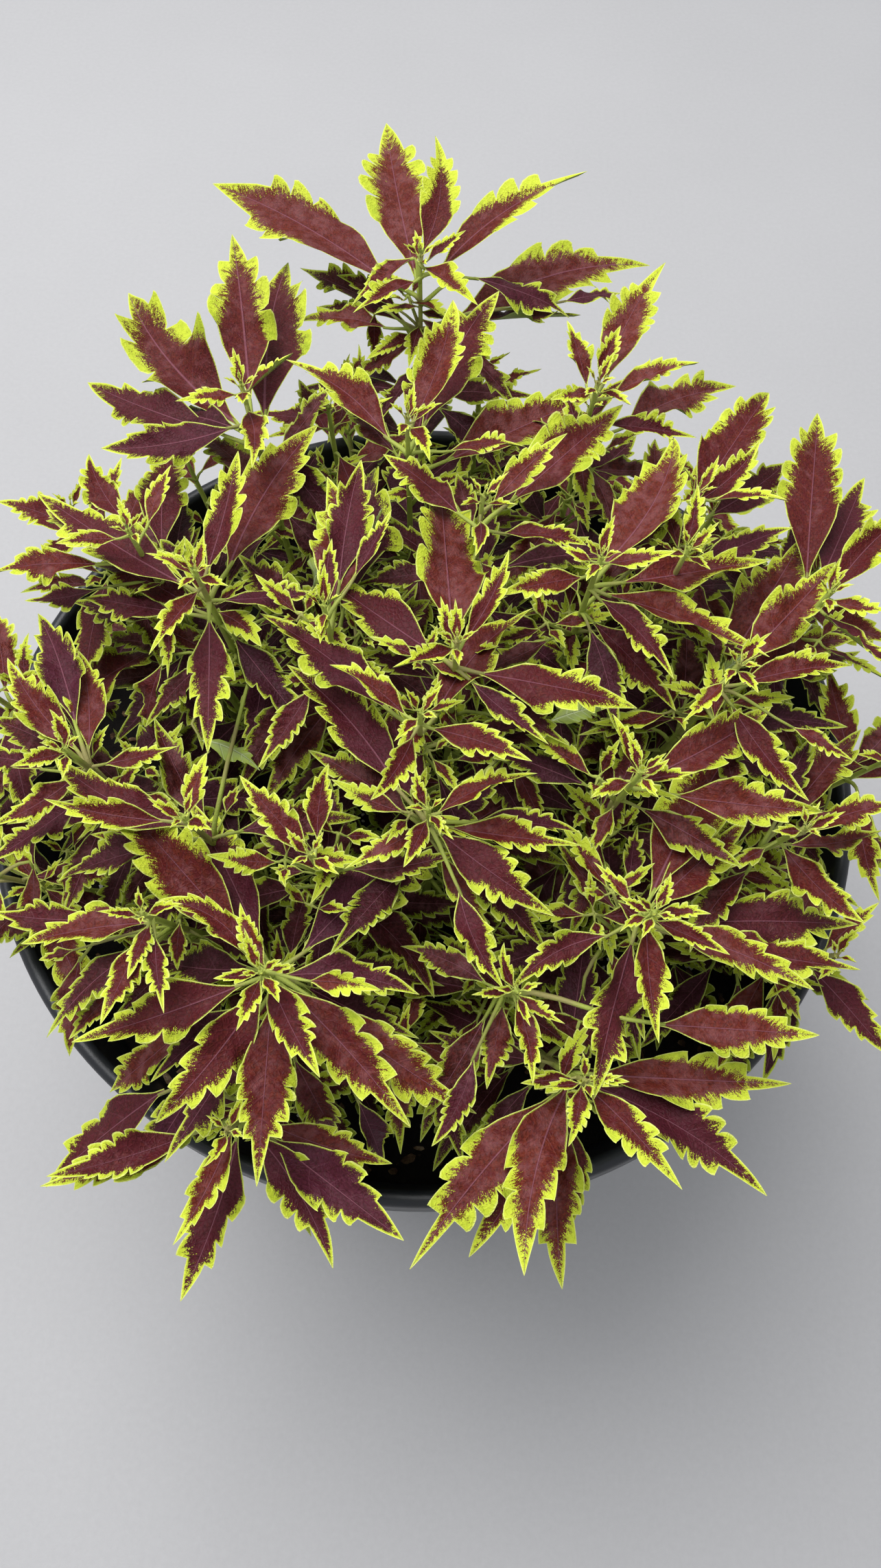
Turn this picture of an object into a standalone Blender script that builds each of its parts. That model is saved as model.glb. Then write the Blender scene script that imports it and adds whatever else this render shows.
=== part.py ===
# Potted coleus: a plastic nursery pot, its soil and the leafy shoots that stand in the soil.
# Metres, +Z up. The origin is the middle of the pot's base, on the ground; -Y is the front.
import math

import bmesh
import bpy
from mathutils import Matrix, Vector
from mathutils.bvhtree import BVHTree

# Pot
POT_HEIGHT = 0.300
RIM_RADIUS = 0.200
BASE_RADIUS = 0.146
WALL = 0.0030
FLOOR = 0.0040
FOOT_CHAMFER = 0.0030
LIP_WIDTH = 0.0070       # across the rolled lip, seen from above
SKIRT_HEIGHT = 0.016     # the upright band under the lip
SKIRT_STEP = 0.0035      # how far the band stands out from the wall
POT_SIDES = 56
LIP_STEPS = 6
DRAIN_HOLES = 8
DRAIN_RADIUS = 0.0070
DRAIN_CIRCLE = 0.105
DRAIN_SIDES = 8

# Soil
SOIL_TOP = 0.248
SOIL_CROWN = 0.004       # the middle stands this much over the edge
SOIL_SHOULDER = 0.008
SOIL_SIDES = 40
GAP = 0.0003             # between parts that rest on each other

# Stems: square, as on every coleus
STEM_FOOT = 0.0064       # side of the square in the soil
STEM_TIP = 0.0034
STEM_BURIED = 0.014
STEM_STEPS = 4
STEM_LEAN = 0.62         # a foot stands at this share of the way out to its own tip
BUD_LENGTH = 0.006

# Leaves: one solid blade with a keel along its midrib
BLADE_WIDTH = 0.44       # width over length
WIDEST_AT = 0.36         # share of the length from the blade's base
BLADE_KEEL = 0.0016
BLADE_FOLD = 0.16        # how far the edges rise, as a share of the width
STALK_SIDE = 0.0022
STALK_SINK = 0.35        # a stalk starts this share of its length below its blade
CLEARANCE = 0.0005       # kept between leaves of two shoots
SMALLEST_BLADE = 0.017   # shorter ones stay with the bud

# How each kind of leaf is carried: rise in degrees, and how far below the tip
KINDS = {
    "y": dict(rise=22, drop=0.004),
    "m": dict(rise=15, drop=0.010),
    "o": dict(rise=-5, drop=0.020),
    "d": dict(rise=-15, drop=0.035),
    "s": dict(rise=-10, drop=0.062),
    "b": dict(rise=-16, drop=0.096),
}

# Each shoot: its tip in millimetres, then its leaves as KIND ANGLE/STALK/BLADE,
# with the compass angle in degrees from +X and both lengths in millimetres.
SHOOTS = {
    "back_tip": ((-8, 182, 428),
        "o100/32/78 y85/15/41 m30/22/59 o145/36/78 m230/6/38 y300/5/49 y30/6/17 d20/42/36 "
        "d30/42/78 d140/19/54 d170/28/28"),
    "back_left": ((-75, 88, 445),
        "o100/30/72 d125/42/78 d90/42/78 y210/5/24 y30/4/20 d150/42/50 o190/18/44 m280/6/35"),
    "back_mid": ((-9, 67, 453),
        "m75/15/48 o70/34/70 o135/24/51 o10/25/22 y290/4/25 y30/6/10 d40/42/63 d85/42/47"),
    "back_right": ((65, 94, 446),
        "m65/27/47 m20/17/29 m105/17/23 y70/9/21 y315/4/15 d35/42/48 o355/15/30 y215/3/22 "
        "d135/27/15"),
    "right_back_outer": ((101, 43, 444),
        "o60/28/59 m45/9/32 d45/42/39 y350/15/20 d90/37/29"),
    "mid_back": ((20, 29, 455),
        "m45/12/34 o50/39/51 o135/22/32 m265/7/16 y345/4/10 o355/18/23 d300/7/10"),
    "right_mid": ((63, 7, 450),
        "o65/23/65 o55/34/45 y0/5/23 y165/5/11 o310/11/36 o340/12/59 o15/25/48 m205/10/31 "
        "d315/12/41 d45/39/33"),
    "right_small": ((96, 16, 445),
        "o30/23/35 y310/3/10 y80/6/22"),
    "right_edge_back": ((153, 11, 427),
        "o80/42/73 o65/42/50 m45/21/38 y50/5/10 y335/4/23 m305/7/42 d80/42/24"),
    "right_pale": ((113, -28, 437),
        "o50/30/52 d60/42/60 o15/17/38 d30/35/42 y295/2/13 o330/37/18 o305/17/36 m230/6/25"),
    "right_edge": ((137, -82, 417),
        "o20/20/34 d50/33/48 o315/4/38 o210/10/12 y55/4/9 d15/24/31"),
    "right_inner": ((76, -72, 437),
        "y115/3/20 y25/2/10 o35/17/54 o355/32/38 m210/2/17 d40/9/27 m5/5/17 d245/3/18"),
    "right_front": ((81, -117, 422),
        "o60/22/70 o45/14/50 y160/2/11 m330/6/25 o340/20/45 m270/5/43 o255/15/49 m0/6/16 d5/42/50 "
        "d350/42/43 y215/5/10 m135/12/14 d80/23/21 o210/23/28"),
    "front_mid": ((35, -144, 417),
        "m280/5/29 m190/2/13 m325/3/18 d260/8/26 d245/35/24"),
    "center": ((12, -31, 451),
        "o95/22/71 y110/3/16 o140/20/49 m65/12/32 y215/2/26 d150/17/28 o350/18/49 o320/16/28"),
    "center_low": ((0, -57, 447),
        "o55/19/52 y60/3/12 m150/12/26 o140/32/49 m335/9/34 m245/11/26 d20/24/25"),
    "center_front": ((4, -89, 439),
        "o105/14/45 m20/6/34 o355/15/39 o5/28/30 o325/9/45 m250/2/21 y305/2/14 o210/4/29 "
        "o130/35/51 d305/15/29 d325/24/25 o295/37/26"),
    "front_left": ((-50, -140, 417),
        "m115/4/22 y10/3/9 y195/4/13 y255/5/19 m300/2/42 o235/12/50 o270/21/49 o315/13/57 "
        "o330/33/53 o355/7/44 y350/23/19 o40/27/58 o120/21/60 o135/33/58 m150/13/32 o200/24/48 "
        "d220/29/30 d240/31/44"),
    "inner_left": ((-35, -104, 433),
        "m135/4/35 m85/15/20 d170/11/10 d315/4/13"),
    "left_front": ((-92, -121, 417),
        "o190/10/41 m260/3/22 m255/16/26 d195/42/10 d230/39/16 d175/42/31 m285/15/22"),
    "left_inner": ((-79, -91, 431),
        "o155/12/49 m175/20/31 y75/3/21 d175/28/20 d75/16/10"),
    "left_edge": ((-125, -64, 426),
        "o105/16/40 o130/20/43 y210/2/19 o20/10/23 o215/11/29 o115/35/41 d215/19/37 d170/36/26"),
    "left_back": ((-83, -1, 446),
        "m80/12/44 o70/35/63 o145/27/65 y165/3/17 y330/2/14 m250/4/35 o10/9/37 o275/15/47 "
        "d150/26/41 d165/30/30"),
    "left_back_edge": ((-111, 20, 441),
        "o120/34/29 m75/18/19 d95/36/50 o145/29/32 o185/30/31 y200/11/17 d185/34/22"),
    "mid_left": ((-35, -18, 451),
        "o85/38/42 o95/25/52 m65/29/22 m90/14/19 d85/42/65 y270/3/15 d240/26/26"),
    "front_droop": ((-61, -186, 386),
        "m250/6/39 o255/14/49 o200/34/40 o200/33/36 o305/14/46 o325/28/45 o345/19/36 d355/22/9"),
    "front_right": ((59, -169, 399),
        "m190/4/17 o230/22/63 o240/10/62 o255/8/63 d270/29/46 d275/29/28 m310/8/42 o330/17/60 "
        "o0/14/65 o10/38/54 y255/3/23 y355/4/12"),
}

# Shoots low round the pot's sides and back: tip in millimetres, turn of the first
# pair of leaves in degrees, and size against a full-grown shoot.
LOW_SHOOTS = {
    "left_side": ((-180, -15, 386), 20, 1.0),
    "left_side_back": ((-150, 62, 400), 65, 0.9),
    "left_side_front": ((-172, -88, 366), 100, 0.9),
    "back_left_low": ((-118, 128, 356), 35, 0.9),
    "back_low": ((-48, 186, 348), 80, 0.9),
    "back_middle_low": ((22, 176, 372), 10, 0.8),
    "back_right_low": ((74, 160, 362), 50, 0.9),
    "right_back_low": ((128, 112, 368), 115, 0.95),
    "right_side_back": ((168, 58, 376), 70, 0.9),
    "right_side": ((190, -30, 372), 5, 0.95),
    "right_side_front": ((160, -112, 366), 40, 0.85),
    "front_low": ((-4, -150, 360), 70, 0.7),
    "middle_back_low": ((-46, 118, 402), 25, 0.8),
    "middle_right_low": ((120, 72, 396), 95, 0.8),
}
# Pairs of leaves down a low shoot: kind, angle from the first pair, stalk and blade in mm
LOW_PAIRS = (("m", 0, 8, 30), ("o", 90, 14, 44), ("d", 20, 20, 48))
# The shaded pairs lower on every stem, written the same way
SHADED_PAIRS = (("s", 0, 16, 40), ("b", 80, 22, 44))
SHADED_TURN = 137.5      # from one shoot to the next, in degrees


# Scene
def clear_scene():
    for thing in list(bpy.data.objects):
        bpy.data.objects.remove(thing, do_unlink=True)


def finish(name, color, roughness):
    material = bpy.data.materials.new(name)
    material.use_nodes = True
    shader = material.node_tree.nodes["Principled BSDF"]
    shader.inputs["Base Color"].default_value = (*color, 1.0)
    shader.inputs["Roughness"].default_value = roughness
    shader.inputs["Metallic"].default_value = 0.0
    return material


def add_object(name, bm, material=None):
    mesh = bpy.data.meshes.new(name)
    bm.to_mesh(mesh)
    bm.free()
    if material:
        mesh.materials.append(material)
    thing = bpy.data.objects.new(name, mesh)
    bpy.context.collection.objects.link(thing)
    return thing


def combine(base, other, operation):
    """Cuts other out of base, or joins it to base, and drops other."""
    modifier = base.modifiers.new("combine", "BOOLEAN")
    modifier.object = other
    modifier.operation = operation
    modifier.solver = "EXACT"
    modifier.use_self = operation == "UNION"
    seen = base.evaluated_get(bpy.context.evaluated_depsgraph_get())
    mesh = bpy.data.meshes.new_from_object(seen)
    base.modifiers.remove(modifier)
    mesh.name = base.name
    base.data = mesh
    bpy.data.objects.remove(other, do_unlink=True)


# Round parts
def revolve(outline, sides):
    """A solid turned about Z from (radius, height) points that start and end on the axis."""
    bm = bmesh.new()
    rings = []
    for radius, height in outline:
        if radius == 0:
            rings.append([bm.verts.new((0, 0, height))])
            continue
        turn = [math.tau * k / sides for k in range(sides)]
        rings.append([bm.verts.new((radius * math.cos(a), radius * math.sin(a), height)) for a in turn])
    for low, high in zip(rings, rings[1:]):
        for k in range(sides):
            after = (k + 1) % sides
            corners = [low[k % len(low)], low[after % len(low)], high[after % len(high)], high[k % len(high)]]
            bm.faces.new(list(dict.fromkeys(corners)))
    bmesh.ops.recalc_face_normals(bm, faces=bm.faces)
    return bm


def lip_arc():
    """The rolled lip, from the top of its outer band over to the inner wall."""
    radius = LIP_WIDTH / 2
    turns = [math.pi * k / LIP_STEPS for k in range(LIP_STEPS + 1)]
    middle = RIM_RADIUS - radius
    return [(middle + radius * math.cos(a), POT_HEIGHT - radius + radius * math.sin(a)) for a in turns]


def wall_radius(height):
    """Outer radius of the tapered wall."""
    top = RIM_RADIUS - SKIRT_STEP
    return BASE_RADIUS + (top - BASE_RADIUS) * height / POT_HEIGHT


def make_pot():
    skirt = POT_HEIGHT - SKIRT_HEIGHT
    outline = [(0, 0), (BASE_RADIUS - FOOT_CHAMFER, 0), (wall_radius(FOOT_CHAMFER), FOOT_CHAMFER)]
    outline += [(wall_radius(skirt - SKIRT_STEP), skirt - SKIRT_STEP), (RIM_RADIUS, skirt)]
    outline += lip_arc()
    outline += [(wall_radius(FLOOR) - WALL, FLOOR), (0, FLOOR)]
    pot = add_object("pot", revolve(outline, POT_SIDES), finish("pot plastic", (0.012, 0.013, 0.016), 0.42))
    drill = bmesh.new()
    for k in range(DRAIN_HOLES):
        turn = math.tau * (k + 0.5) / DRAIN_HOLES
        place = Matrix.Translation((DRAIN_CIRCLE * math.cos(turn), DRAIN_CIRCLE * math.sin(turn), 0))
        bmesh.ops.create_cone(drill, cap_ends=True, segments=DRAIN_SIDES, radius1=DRAIN_RADIUS,
                              radius2=DRAIN_RADIUS, depth=FLOOR * 4, matrix=place)
    combine(pot, add_object("drain drill", drill), "DIFFERENCE")
    return pot


def inner_radius(height):
    """Inner radius of the pot, on the straight run from its lip to its floor."""
    top = POT_HEIGHT - LIP_WIDTH / 2
    low = wall_radius(FLOOR) - WALL
    return low + (RIM_RADIUS - LIP_WIDTH - low) * (height - FLOOR) / (top - FLOOR)


def make_soil(feet):
    bottom = FLOOR + GAP
    shoulder = SOIL_TOP - SOIL_SHOULDER
    tight = math.cos(math.pi / POT_SIDES)      # keeps the round soil inside the many-sided wall
    edge = inner_radius(shoulder) * tight - 2 * GAP
    outline = [(0, bottom), (inner_radius(bottom) * tight - 2 * GAP, bottom), (edge, shoulder)]
    outline += [(edge - SOIL_SHOULDER, SOIL_TOP), (0, SOIL_TOP + SOIL_CROWN)]
    soil = add_object("soil", revolve(outline, SOIL_SIDES), finish("peat soil", (0.012, 0.009, 0.007), 0.95))
    sockets = bmesh.new()
    side = STEM_FOOT + 2 * GAP
    low = SOIL_TOP - STEM_BURIED - GAP
    depth = STEM_BURIED + SOIL_CROWN * 3
    for x, y in feet:
        place = Matrix.Translation((x, y, low + depth / 2)) @ Matrix.Diagonal((side, side, depth, 1))
        bmesh.ops.create_cube(sockets, size=1, matrix=place)
    combine(soil, add_object("stem sockets", sockets), "DIFFERENCE")
    return soil


# Shoots
def stem_path(tip):
    """From the buried foot straight up to the soil, then outwards and up to the tip."""
    foot = Vector((tip.x * STEM_LEAN, tip.y * STEM_LEAN, SOIL_TOP - STEM_BURIED))
    ground = foot + Vector((0, 0, STEM_BURIED + SOIL_CROWN))
    elbow = Vector((tip.x * 0.86, tip.y * 0.86, ground.z + 0.45 * (tip.z - ground.z)))
    path = [foot]
    for k in range(STEM_STEPS + 1):
        t = k / STEM_STEPS
        path.append(ground * (1 - t) ** 2 + elbow * 2 * t * (1 - t) + tip * t * t)
    return path


def at_height(path, height):
    """The point of a stem at a height."""
    for low, high in zip(path, path[1:]):
        if height <= high.z:
            return low.lerp(high, max(0.0, (height - low.z) / (high.z - low.z)))
    return path[-1].copy()


def square_ring(bm, middle, side):
    half = side / 2
    corners = ((-half, -half), (half, -half), (half, half), (-half, half))
    return [bm.verts.new(middle + Vector((x, y, 0))) for x, y in corners]


def make_stem(name, path, material):
    bm = bmesh.new()
    last = len(path) - 1
    rings = []
    for k, point in enumerate(path):
        share = max(0, k - 1) / (last - 1)
        rings.append(square_ring(bm, point, STEM_FOOT + (STEM_TIP - STEM_FOOT) * share))
    bud = bm.verts.new(path[-1] + Vector((0, 0, BUD_LENGTH)))
    bm.faces.new(rings[0][::-1])
    for low, high in zip(rings, rings[1:]):
        for k in range(4):
            after = (k + 1) % 4
            bm.faces.new((low[k], low[after], high[after], high[k]))
    for k in range(4):
        bm.faces.new((rings[-1][k], rings[-1][(k + 1) % 4], bud))
    return add_object(name, bm, material)


def leaf_solid(root, base, angle, rise, blade, swell=0.0):
    """Corners and faces of one leaf: a stalk from root to base, then the keeled blade.

    With swell it is that much thicker and wider, for testing the room round it."""
    out = Vector((math.cos(angle), math.sin(angle), 0))
    side = Vector((-out.y, out.x, 0))
    along = out * math.cos(rise) + Vector((0, 0, math.sin(rise)))
    up = side.cross(along) * -1
    half = blade * BLADE_WIDTH / 2 + swell
    middle = base + along * blade * WIDEST_AT
    fold = up * (half * 2 * BLADE_FOLD)
    keel = up * (BLADE_KEEL + 2 * swell)
    stalk = side * (STALK_SIDE / 2 + swell)
    deep = up * (STALK_SIDE + 2 * swell)
    points = [root + stalk, root - stalk, root - deep, base + stalk, base - stalk, base - deep,
              middle + side * half + fold, middle - side * half + fold, middle - keel,
              base + along * (blade + swell)]
    faces = [(0, 1, 2)]
    for low in (0, 3):
        faces += [(low, low + 3, low + 4, low + 1), (low + 1, low + 4, low + 5, low + 2),
                  (low + 2, low + 5, low + 3, low)]
    faces += [(6, 9, 7), (7, 9, 8), (8, 9, 6)]
    return points, faces


def split(faces):
    """Quads as triangles."""
    for face in faces:
        for k in range(1, len(face) - 1):
            yield (face[0], face[k], face[k + 1])


def tree_of(points, faces):
    return BVHTree.FromPolygons(points, list(split(faces)))


def near(a, b):
    """Whether two boxes, each a low and a high corner, meet."""
    return all(a[0][k] <= b[1][k] and b[0][k] <= a[1][k] for k in range(3))


def box_of(points):
    return tuple(map(min, *points)), tuple(map(max, *points))


# A leaf that would cut one of another shoot gives way: turned, lifted or shortened a little
GIVE_WAY = [(turn, lift, 1 - short) for short in (0, 0.12, 0.25, 0.4)
            for turn in (0, 6, -6, 12, -12) for lift in (0, 8, -8, 16, -16, 26, -26)]


def place_leaf(path, leaf, shoot, taken):
    """The first free way to carry a leaf, or None. taken holds (shoot, box, tree) of what stands."""
    kind, angle, stalk, blade = leaf
    drop = KINDS[kind]["drop"]
    for turn, lift, share in GIVE_WAY:
        heading = math.radians(angle + turn)
        rise = math.radians(KINDS[kind]["rise"] + lift)
        height = path[-1].z - drop
        node = at_height(path, height - STALK_SINK * stalk)
        hub = at_height(path, height)
        base = hub + Vector((math.cos(heading), math.sin(heading), 0)) * stalk
        points, faces = leaf_solid(node, base, heading, rise, blade * share, CLEARANCE)
        box = box_of(points)
        if box[0][2] < SOIL_TOP + SOIL_CROWN + CLEARANCE:
            continue
        tree = tree_of(points, faces)
        if not any(other != shoot and near(box, there) and tree.overlap(what)
                   for other, there, what in taken):
            taken.append((shoot, box, tree))
            return leaf_solid(node, base, heading, rise, blade * share)
    return None


def read_leaves(text):
    leaves = []
    for word in text.split():
        angle, stalk, blade = word[1:].split("/")
        leaves.append((word[0], float(angle), float(stalk) / 1000, float(blade) / 1000))
    return leaves


def pairs(rows, turn, size):
    """Opposite leaves, two for each row."""
    leaves = []
    for kind, angle, stalk, blade in rows:
        for half_turn in (0, 180):
            leaves.append((kind, turn + angle + half_turn, stalk * size / 1000, blade * size / 1000))
    return leaves


def all_shoots():
    """Every shoot's name, tip and leaves."""
    shoots = []
    for name, (tip, text) in SHOOTS.items():
        shoots.append((name, Vector(tip) / 1000, read_leaves(text)))
    for name, (tip, turn, size) in LOW_SHOOTS.items():
        shoots.append((name, Vector(tip) / 1000, pairs(LOW_PAIRS, turn, size)))
    for k, (_, _, leaves) in enumerate(shoots):
        leaves += pairs(SHADED_PAIRS, SHADED_TURN * k, 1.0)
    return shoots


def room_of(name, thing):
    """What a leaf has to stay clear of: whose it is, its box and its faces."""
    points = [corner.co.copy() for corner in thing.data.vertices]
    faces = [tuple(face.vertices) for face in thing.data.polygons]
    return name, box_of(points), tree_of(points, faces)


def make_shoots(pot):
    green = finish("stem and leaf", (0.13, 0.025, 0.03), 0.55)
    shoots = [(name, stem_path(tip), leaves) for name, tip, leaves in all_shoots()]
    stems = [make_stem("shoot_" + name, path, green) for name, path, _ in shoots]
    taken = [room_of("pot", pot)]
    taken += [room_of(name, stem) for (name, _, _), stem in zip(shoots, stems)]
    lost = 0
    for (name, path, leaves), stem in zip(shoots, stems):
        crown = bmesh.new()
        for leaf in leaves:
            if leaf[3] < SMALLEST_BLADE:
                continue
            solid = place_leaf(path, leaf, name, taken)
            if solid is None:
                lost += 1
                continue
            corners = [crown.verts.new(point) for point in solid[0]]
            for face in solid[1]:
                crown.faces.new([corners[k] for k in face])
        bmesh.ops.recalc_face_normals(crown, faces=crown.faces)
        combine(stem, add_object("crown", crown), "UNION")
    print("leaves with no room:", lost)
    return [(path[0].x, path[0].y) for _, path, _ in shoots]


def main():
    clear_scene()
    make_soil(make_shoots(make_pot()))


main()
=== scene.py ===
import random
from math import asin, atan2, cos, inf, pi, radians, sin, tau

import bmesh
import bpy
import numpy as np
from mathutils import Matrix, Vector, noise
from mathutils.bvhtree import BVHTree


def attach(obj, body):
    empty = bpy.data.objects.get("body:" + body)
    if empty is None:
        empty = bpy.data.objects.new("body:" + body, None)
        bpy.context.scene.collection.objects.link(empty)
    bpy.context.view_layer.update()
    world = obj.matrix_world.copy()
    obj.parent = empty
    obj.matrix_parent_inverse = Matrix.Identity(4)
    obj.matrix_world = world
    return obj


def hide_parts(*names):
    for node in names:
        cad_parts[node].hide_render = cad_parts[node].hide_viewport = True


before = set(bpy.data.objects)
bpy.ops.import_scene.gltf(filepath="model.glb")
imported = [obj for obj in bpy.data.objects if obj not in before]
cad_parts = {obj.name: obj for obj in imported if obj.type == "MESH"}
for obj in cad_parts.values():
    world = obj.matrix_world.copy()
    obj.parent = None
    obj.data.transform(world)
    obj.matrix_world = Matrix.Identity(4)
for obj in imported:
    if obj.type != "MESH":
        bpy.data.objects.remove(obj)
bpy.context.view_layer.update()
print("frame loaded")


# Shader and geometry graphs

class Signal:  # one output socket that can be used in sums
    def __init__(self, graph, socket):
        self.graph = graph
        self.socket = socket

    def of(self, name):  # another output of the same node
        return Signal(self.graph, self.socket.node.outputs[name])

    def math(self, operation, *values):
        return self.graph.node("ShaderNodeMath", {"operation": operation}, values)

    def most(self, other):
        return self.math("MAXIMUM", self, other)

    def size(self):
        return self.math("ABSOLUTE", self)

    def about(self, size):  # a noise from 0 to 1 as one of that size round 0
        return (self - 0.5) * size

    def between(self, low, high):  # 0 up to low, 1 from high, smooth in between
        return self.graph.node("ShaderNodeMapRange", {"interpolation_type": "SMOOTHSTEP"},
                               {"Value": self, "From Min": low, "From Max": high}).of("Result")


def addOperator(word, operation):
    setattr(Signal, f"__{word}__", lambda self, other: self.math(operation, self, other))
    setattr(Signal, f"__r{word}__", lambda self, other: self.math(operation, other, self))


for word, operation in (("add", "ADD"), ("sub", "SUBTRACT"), ("mul", "MULTIPLY"), ("truediv", "DIVIDE")):
    addOperator(word, operation)


class Graph:  # a node tree and the one way that nodes are added to it
    def __init__(self, tree):
        self.tree = tree

    def node(self, kind, settings=None, values=()):
        made = self.tree.nodes.new(kind)
        for name, value in (settings or {}).items():
            if name == "stops":
                ramp = made.color_ramp.elements
                while len(ramp) < len(value):
                    ramp.new(0.5)
                for stop, (place, color) in zip(ramp, value):
                    stop.position = place
                    stop.color = (*color, 1)
            else:
                setattr(made, name, value)
        named = values.items() if isinstance(values, dict) else enumerate(values)
        for name, value in named:
            socket = made.inputs[name]
            if isinstance(value, Signal):
                self.tree.links.new(value.socket, socket)
            elif isinstance(value, (list, tuple)) and len(value) == 3 and socket.type == "RGBA":
                socket.default_value = (*value, 1)
            else:
                socket.default_value = value
        shown = [socket for socket in made.outputs if socket.enabled] or [None]
        return Signal(self, shown[0])

    def split(self, vector):
        parts = self.node("ShaderNodeSeparateXYZ", None, [vector])
        return [parts.of(axis) for axis in "XYZ"]

    def read(self, name):  # a vector attribute as its three numbers
        return self.split(self.node("ShaderNodeAttribute", {"attribute_name": name}).of("Vector"))

    def join(self, x, y, z):
        return self.node("ShaderNodeCombineXYZ", None, [x, y, z])

    def noise(self, vector, scale, detail=3.0, roughness=0.55):
        return self.node("ShaderNodeTexNoise", None, {"Vector": vector, "Scale": scale, "Detail": detail,
                                                      "Roughness": roughness}).of("Fac")

    def blend(self, first, second, share):
        return Signal(self, self.node("ShaderNodeMix", {"data_type": "RGBA"},
                                      {0: share, 6: first, 7: second}).socket.node.outputs[2])

    def place(self):
        return self.node("ShaderNodeTexCoord").of("Object")


def makeMaterial(name, paint, specular=0.5):
    material = bpy.data.materials.new(name)
    material.use_nodes = True
    tree = material.node_tree
    shader = tree.nodes["Principled BSDF"]
    shader.inputs["Specular IOR Level"].default_value = specular
    for socket, value in paint(Graph(tree)).items():
        if isinstance(value, Signal):
            tree.links.new(value.socket, shader.inputs[socket])
        else:
            shader.inputs[socket].default_value = value
    return material


def bumpOf(graph, height, distance, strength=1.0):
    return graph.node("ShaderNodeBump", None, {"Height": height, "Distance": distance, "Strength": strength})


def linear(red, green, blue):  # a colour as a screen shows it, 0 to 255, as light
    return tuple(((c / 255 + 0.055) / 1.055) ** 2.4 if c > 10 else c / 255 / 12.92 for c in (red, green, blue))


# Finishes

leafColors = dict(
    lime=linear(214, 227, 66), limeDeep=linear(160, 180, 42), limeShade=linear(106, 128, 16),
    wine=linear(91, 27, 30), rust=linear(121, 50, 33), plum=linear(80, 36, 54),
    dark=linear(48, 14, 13), paintedSheen=linear(158, 104, 108),
    # rim is the colour of a painted highlight along the leaf margins
    midrib=linear(146, 90, 104), rim=linear(238, 244, 138), stalkVein=linear(172, 190, 112),
    sage=linear(164, 180, 116), sageVein=linear(196, 208, 156), stalk=linear(182, 194, 94),
    stalkMauve=linear(156, 124, 106), stem=linear(148, 164, 60),
)


def veinsOf(phase, pitch):  # 1 on a side vein, 0 beside it
    return 1 - ((phase - phase.math("ROUND", phase)).size() * pitch).between(0.05, 0.34)


def upperPaint(graph):
    colors = leafColors
    phase, across, along = graph.read("blade")
    inset, edge, mid = graph.read("reach")
    age, shade, pitch = graph.read("growth")
    x, y, seed = graph.read("flat")
    flat = graph.join(x, y, seed)
    side = veinsOf(phase, pitch)
    streak = graph.noise(graph.join(phase * pitch * 1.25, mid * 0.30, seed), 1.0, 5.0, 0.7)
    patch = graph.noise(flat, 0.42, 2.0, 0.5)
    speck = graph.noise(flat, 2.6, 3.0, 0.7)
    mottle = graph.noise(flat, 0.95, 4.0, 0.6)
    sheen = graph.noise(graph.join(x, y, seed + 31.0), 0.20, 3.0, 0.6)
    tone = graph.node("ShaderNodeTexWhiteNoise", {"noise_dimensions": "1D"}, {"W": seed}).of("Value")
    grown = along.between(0.20, 0.58)
    margin = (1 - age) * (0.016 + grown * 0.042) + grown * (tone.about(0.020) - 0.022)
    margin = margin + along.between(0.60, 0.88) * 0.026
    ragged = streak.about(0.16) * (0.10 + grown * 0.90) + speck.about(0.04 + grown * 0.12)
    ragged = ragged + patch.about(0.06) * grown
    wine = (inset - margin + ragged + side * 0.008 * grown).between(-0.005, 0.008)
    wine = wine * (edge - speck.about(1.2) - grown * 0.35).between(0.18, 0.62)
    green = graph.blend(colors["lime"], colors["limeDeep"],
                        (age * 0.30 + patch.about(0.9) + (1 - grown) * 0.5).between(0.0, 1.0))
    # painted shade: leaves deep inside the canopy are coloured a darker green
    green = graph.blend(green, colors["limeShade"], shade)
    red = graph.blend(colors["wine"], colors["rust"],
                      (patch + speck.about(0.8) + tone.about(0.5) - age * 0.1).between(0.25, 0.85))
    # purple toward the base, in old leaves and at random, and more where the painted shade is deep
    plum = shade * 0.7 + (1 - along) * 0.2 + (0.55 - tone) * 0.9 + (age - 0.8) * 0.8
    red = graph.blend(red, colors["plum"], plum.between(0.1, 1.0))
    # dark mottles of the leaf's own colour, deepened by the painted shade inside the canopy
    dark = mottle * 0.7 + patch * 0.3 + shade * 0.35
    red = graph.blend(red, colors["dark"], dark.between(0.38, 0.76) * 0.85)
    # painted sheen: pale mauve patches stand in for the sky's reflection on the hairy blade
    paintedSheen = sheen + tone.about(0.30) + age * 0.06
    red = graph.blend(red, colors["paintedSheen"], paintedSheen.between(0.58, 0.84) * 0.30)
    color = graph.blend(green, red, wine)
    color = graph.blend(color, colors["midrib"], side * (1 - across) * 0.16 * wine)
    rib = 1 - (mid / (pitch * (0.062 - along * 0.045))).between(0.35, 1.0)
    color = graph.blend(color, graph.blend(colors["stalkVein"], colors["midrib"], wine.most(0.35)), rib * 0.6)
    # painted highlight: a pale bright line along every margin, toned down on leaves in painted shade
    rim = 1 - edge.between(0.10, 0.42)
    color = graph.blend(color, graph.blend(colors["rim"], colors["stalkVein"], shade), rim * 0.75)
    cells = graph.node("ShaderNodeTexVoronoi", {"feature": "DISTANCE_TO_EDGE"},
                       {"Vector": flat, "Scale": 0.62}).of("Distance")
    relief = cells.between(0.0, 0.22) * 0.45 - side * 0.35 * (1 - across * 0.6) - rib
    relief = relief + speck * 0.3 + mottle * 0.5 + rim * 0.3
    return {"Base Color": color, "Roughness": 0.56 + speck.about(0.22) - wine * 0.06,
            "Normal": bumpOf(graph, relief, 0.00034, 0.8)}


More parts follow.
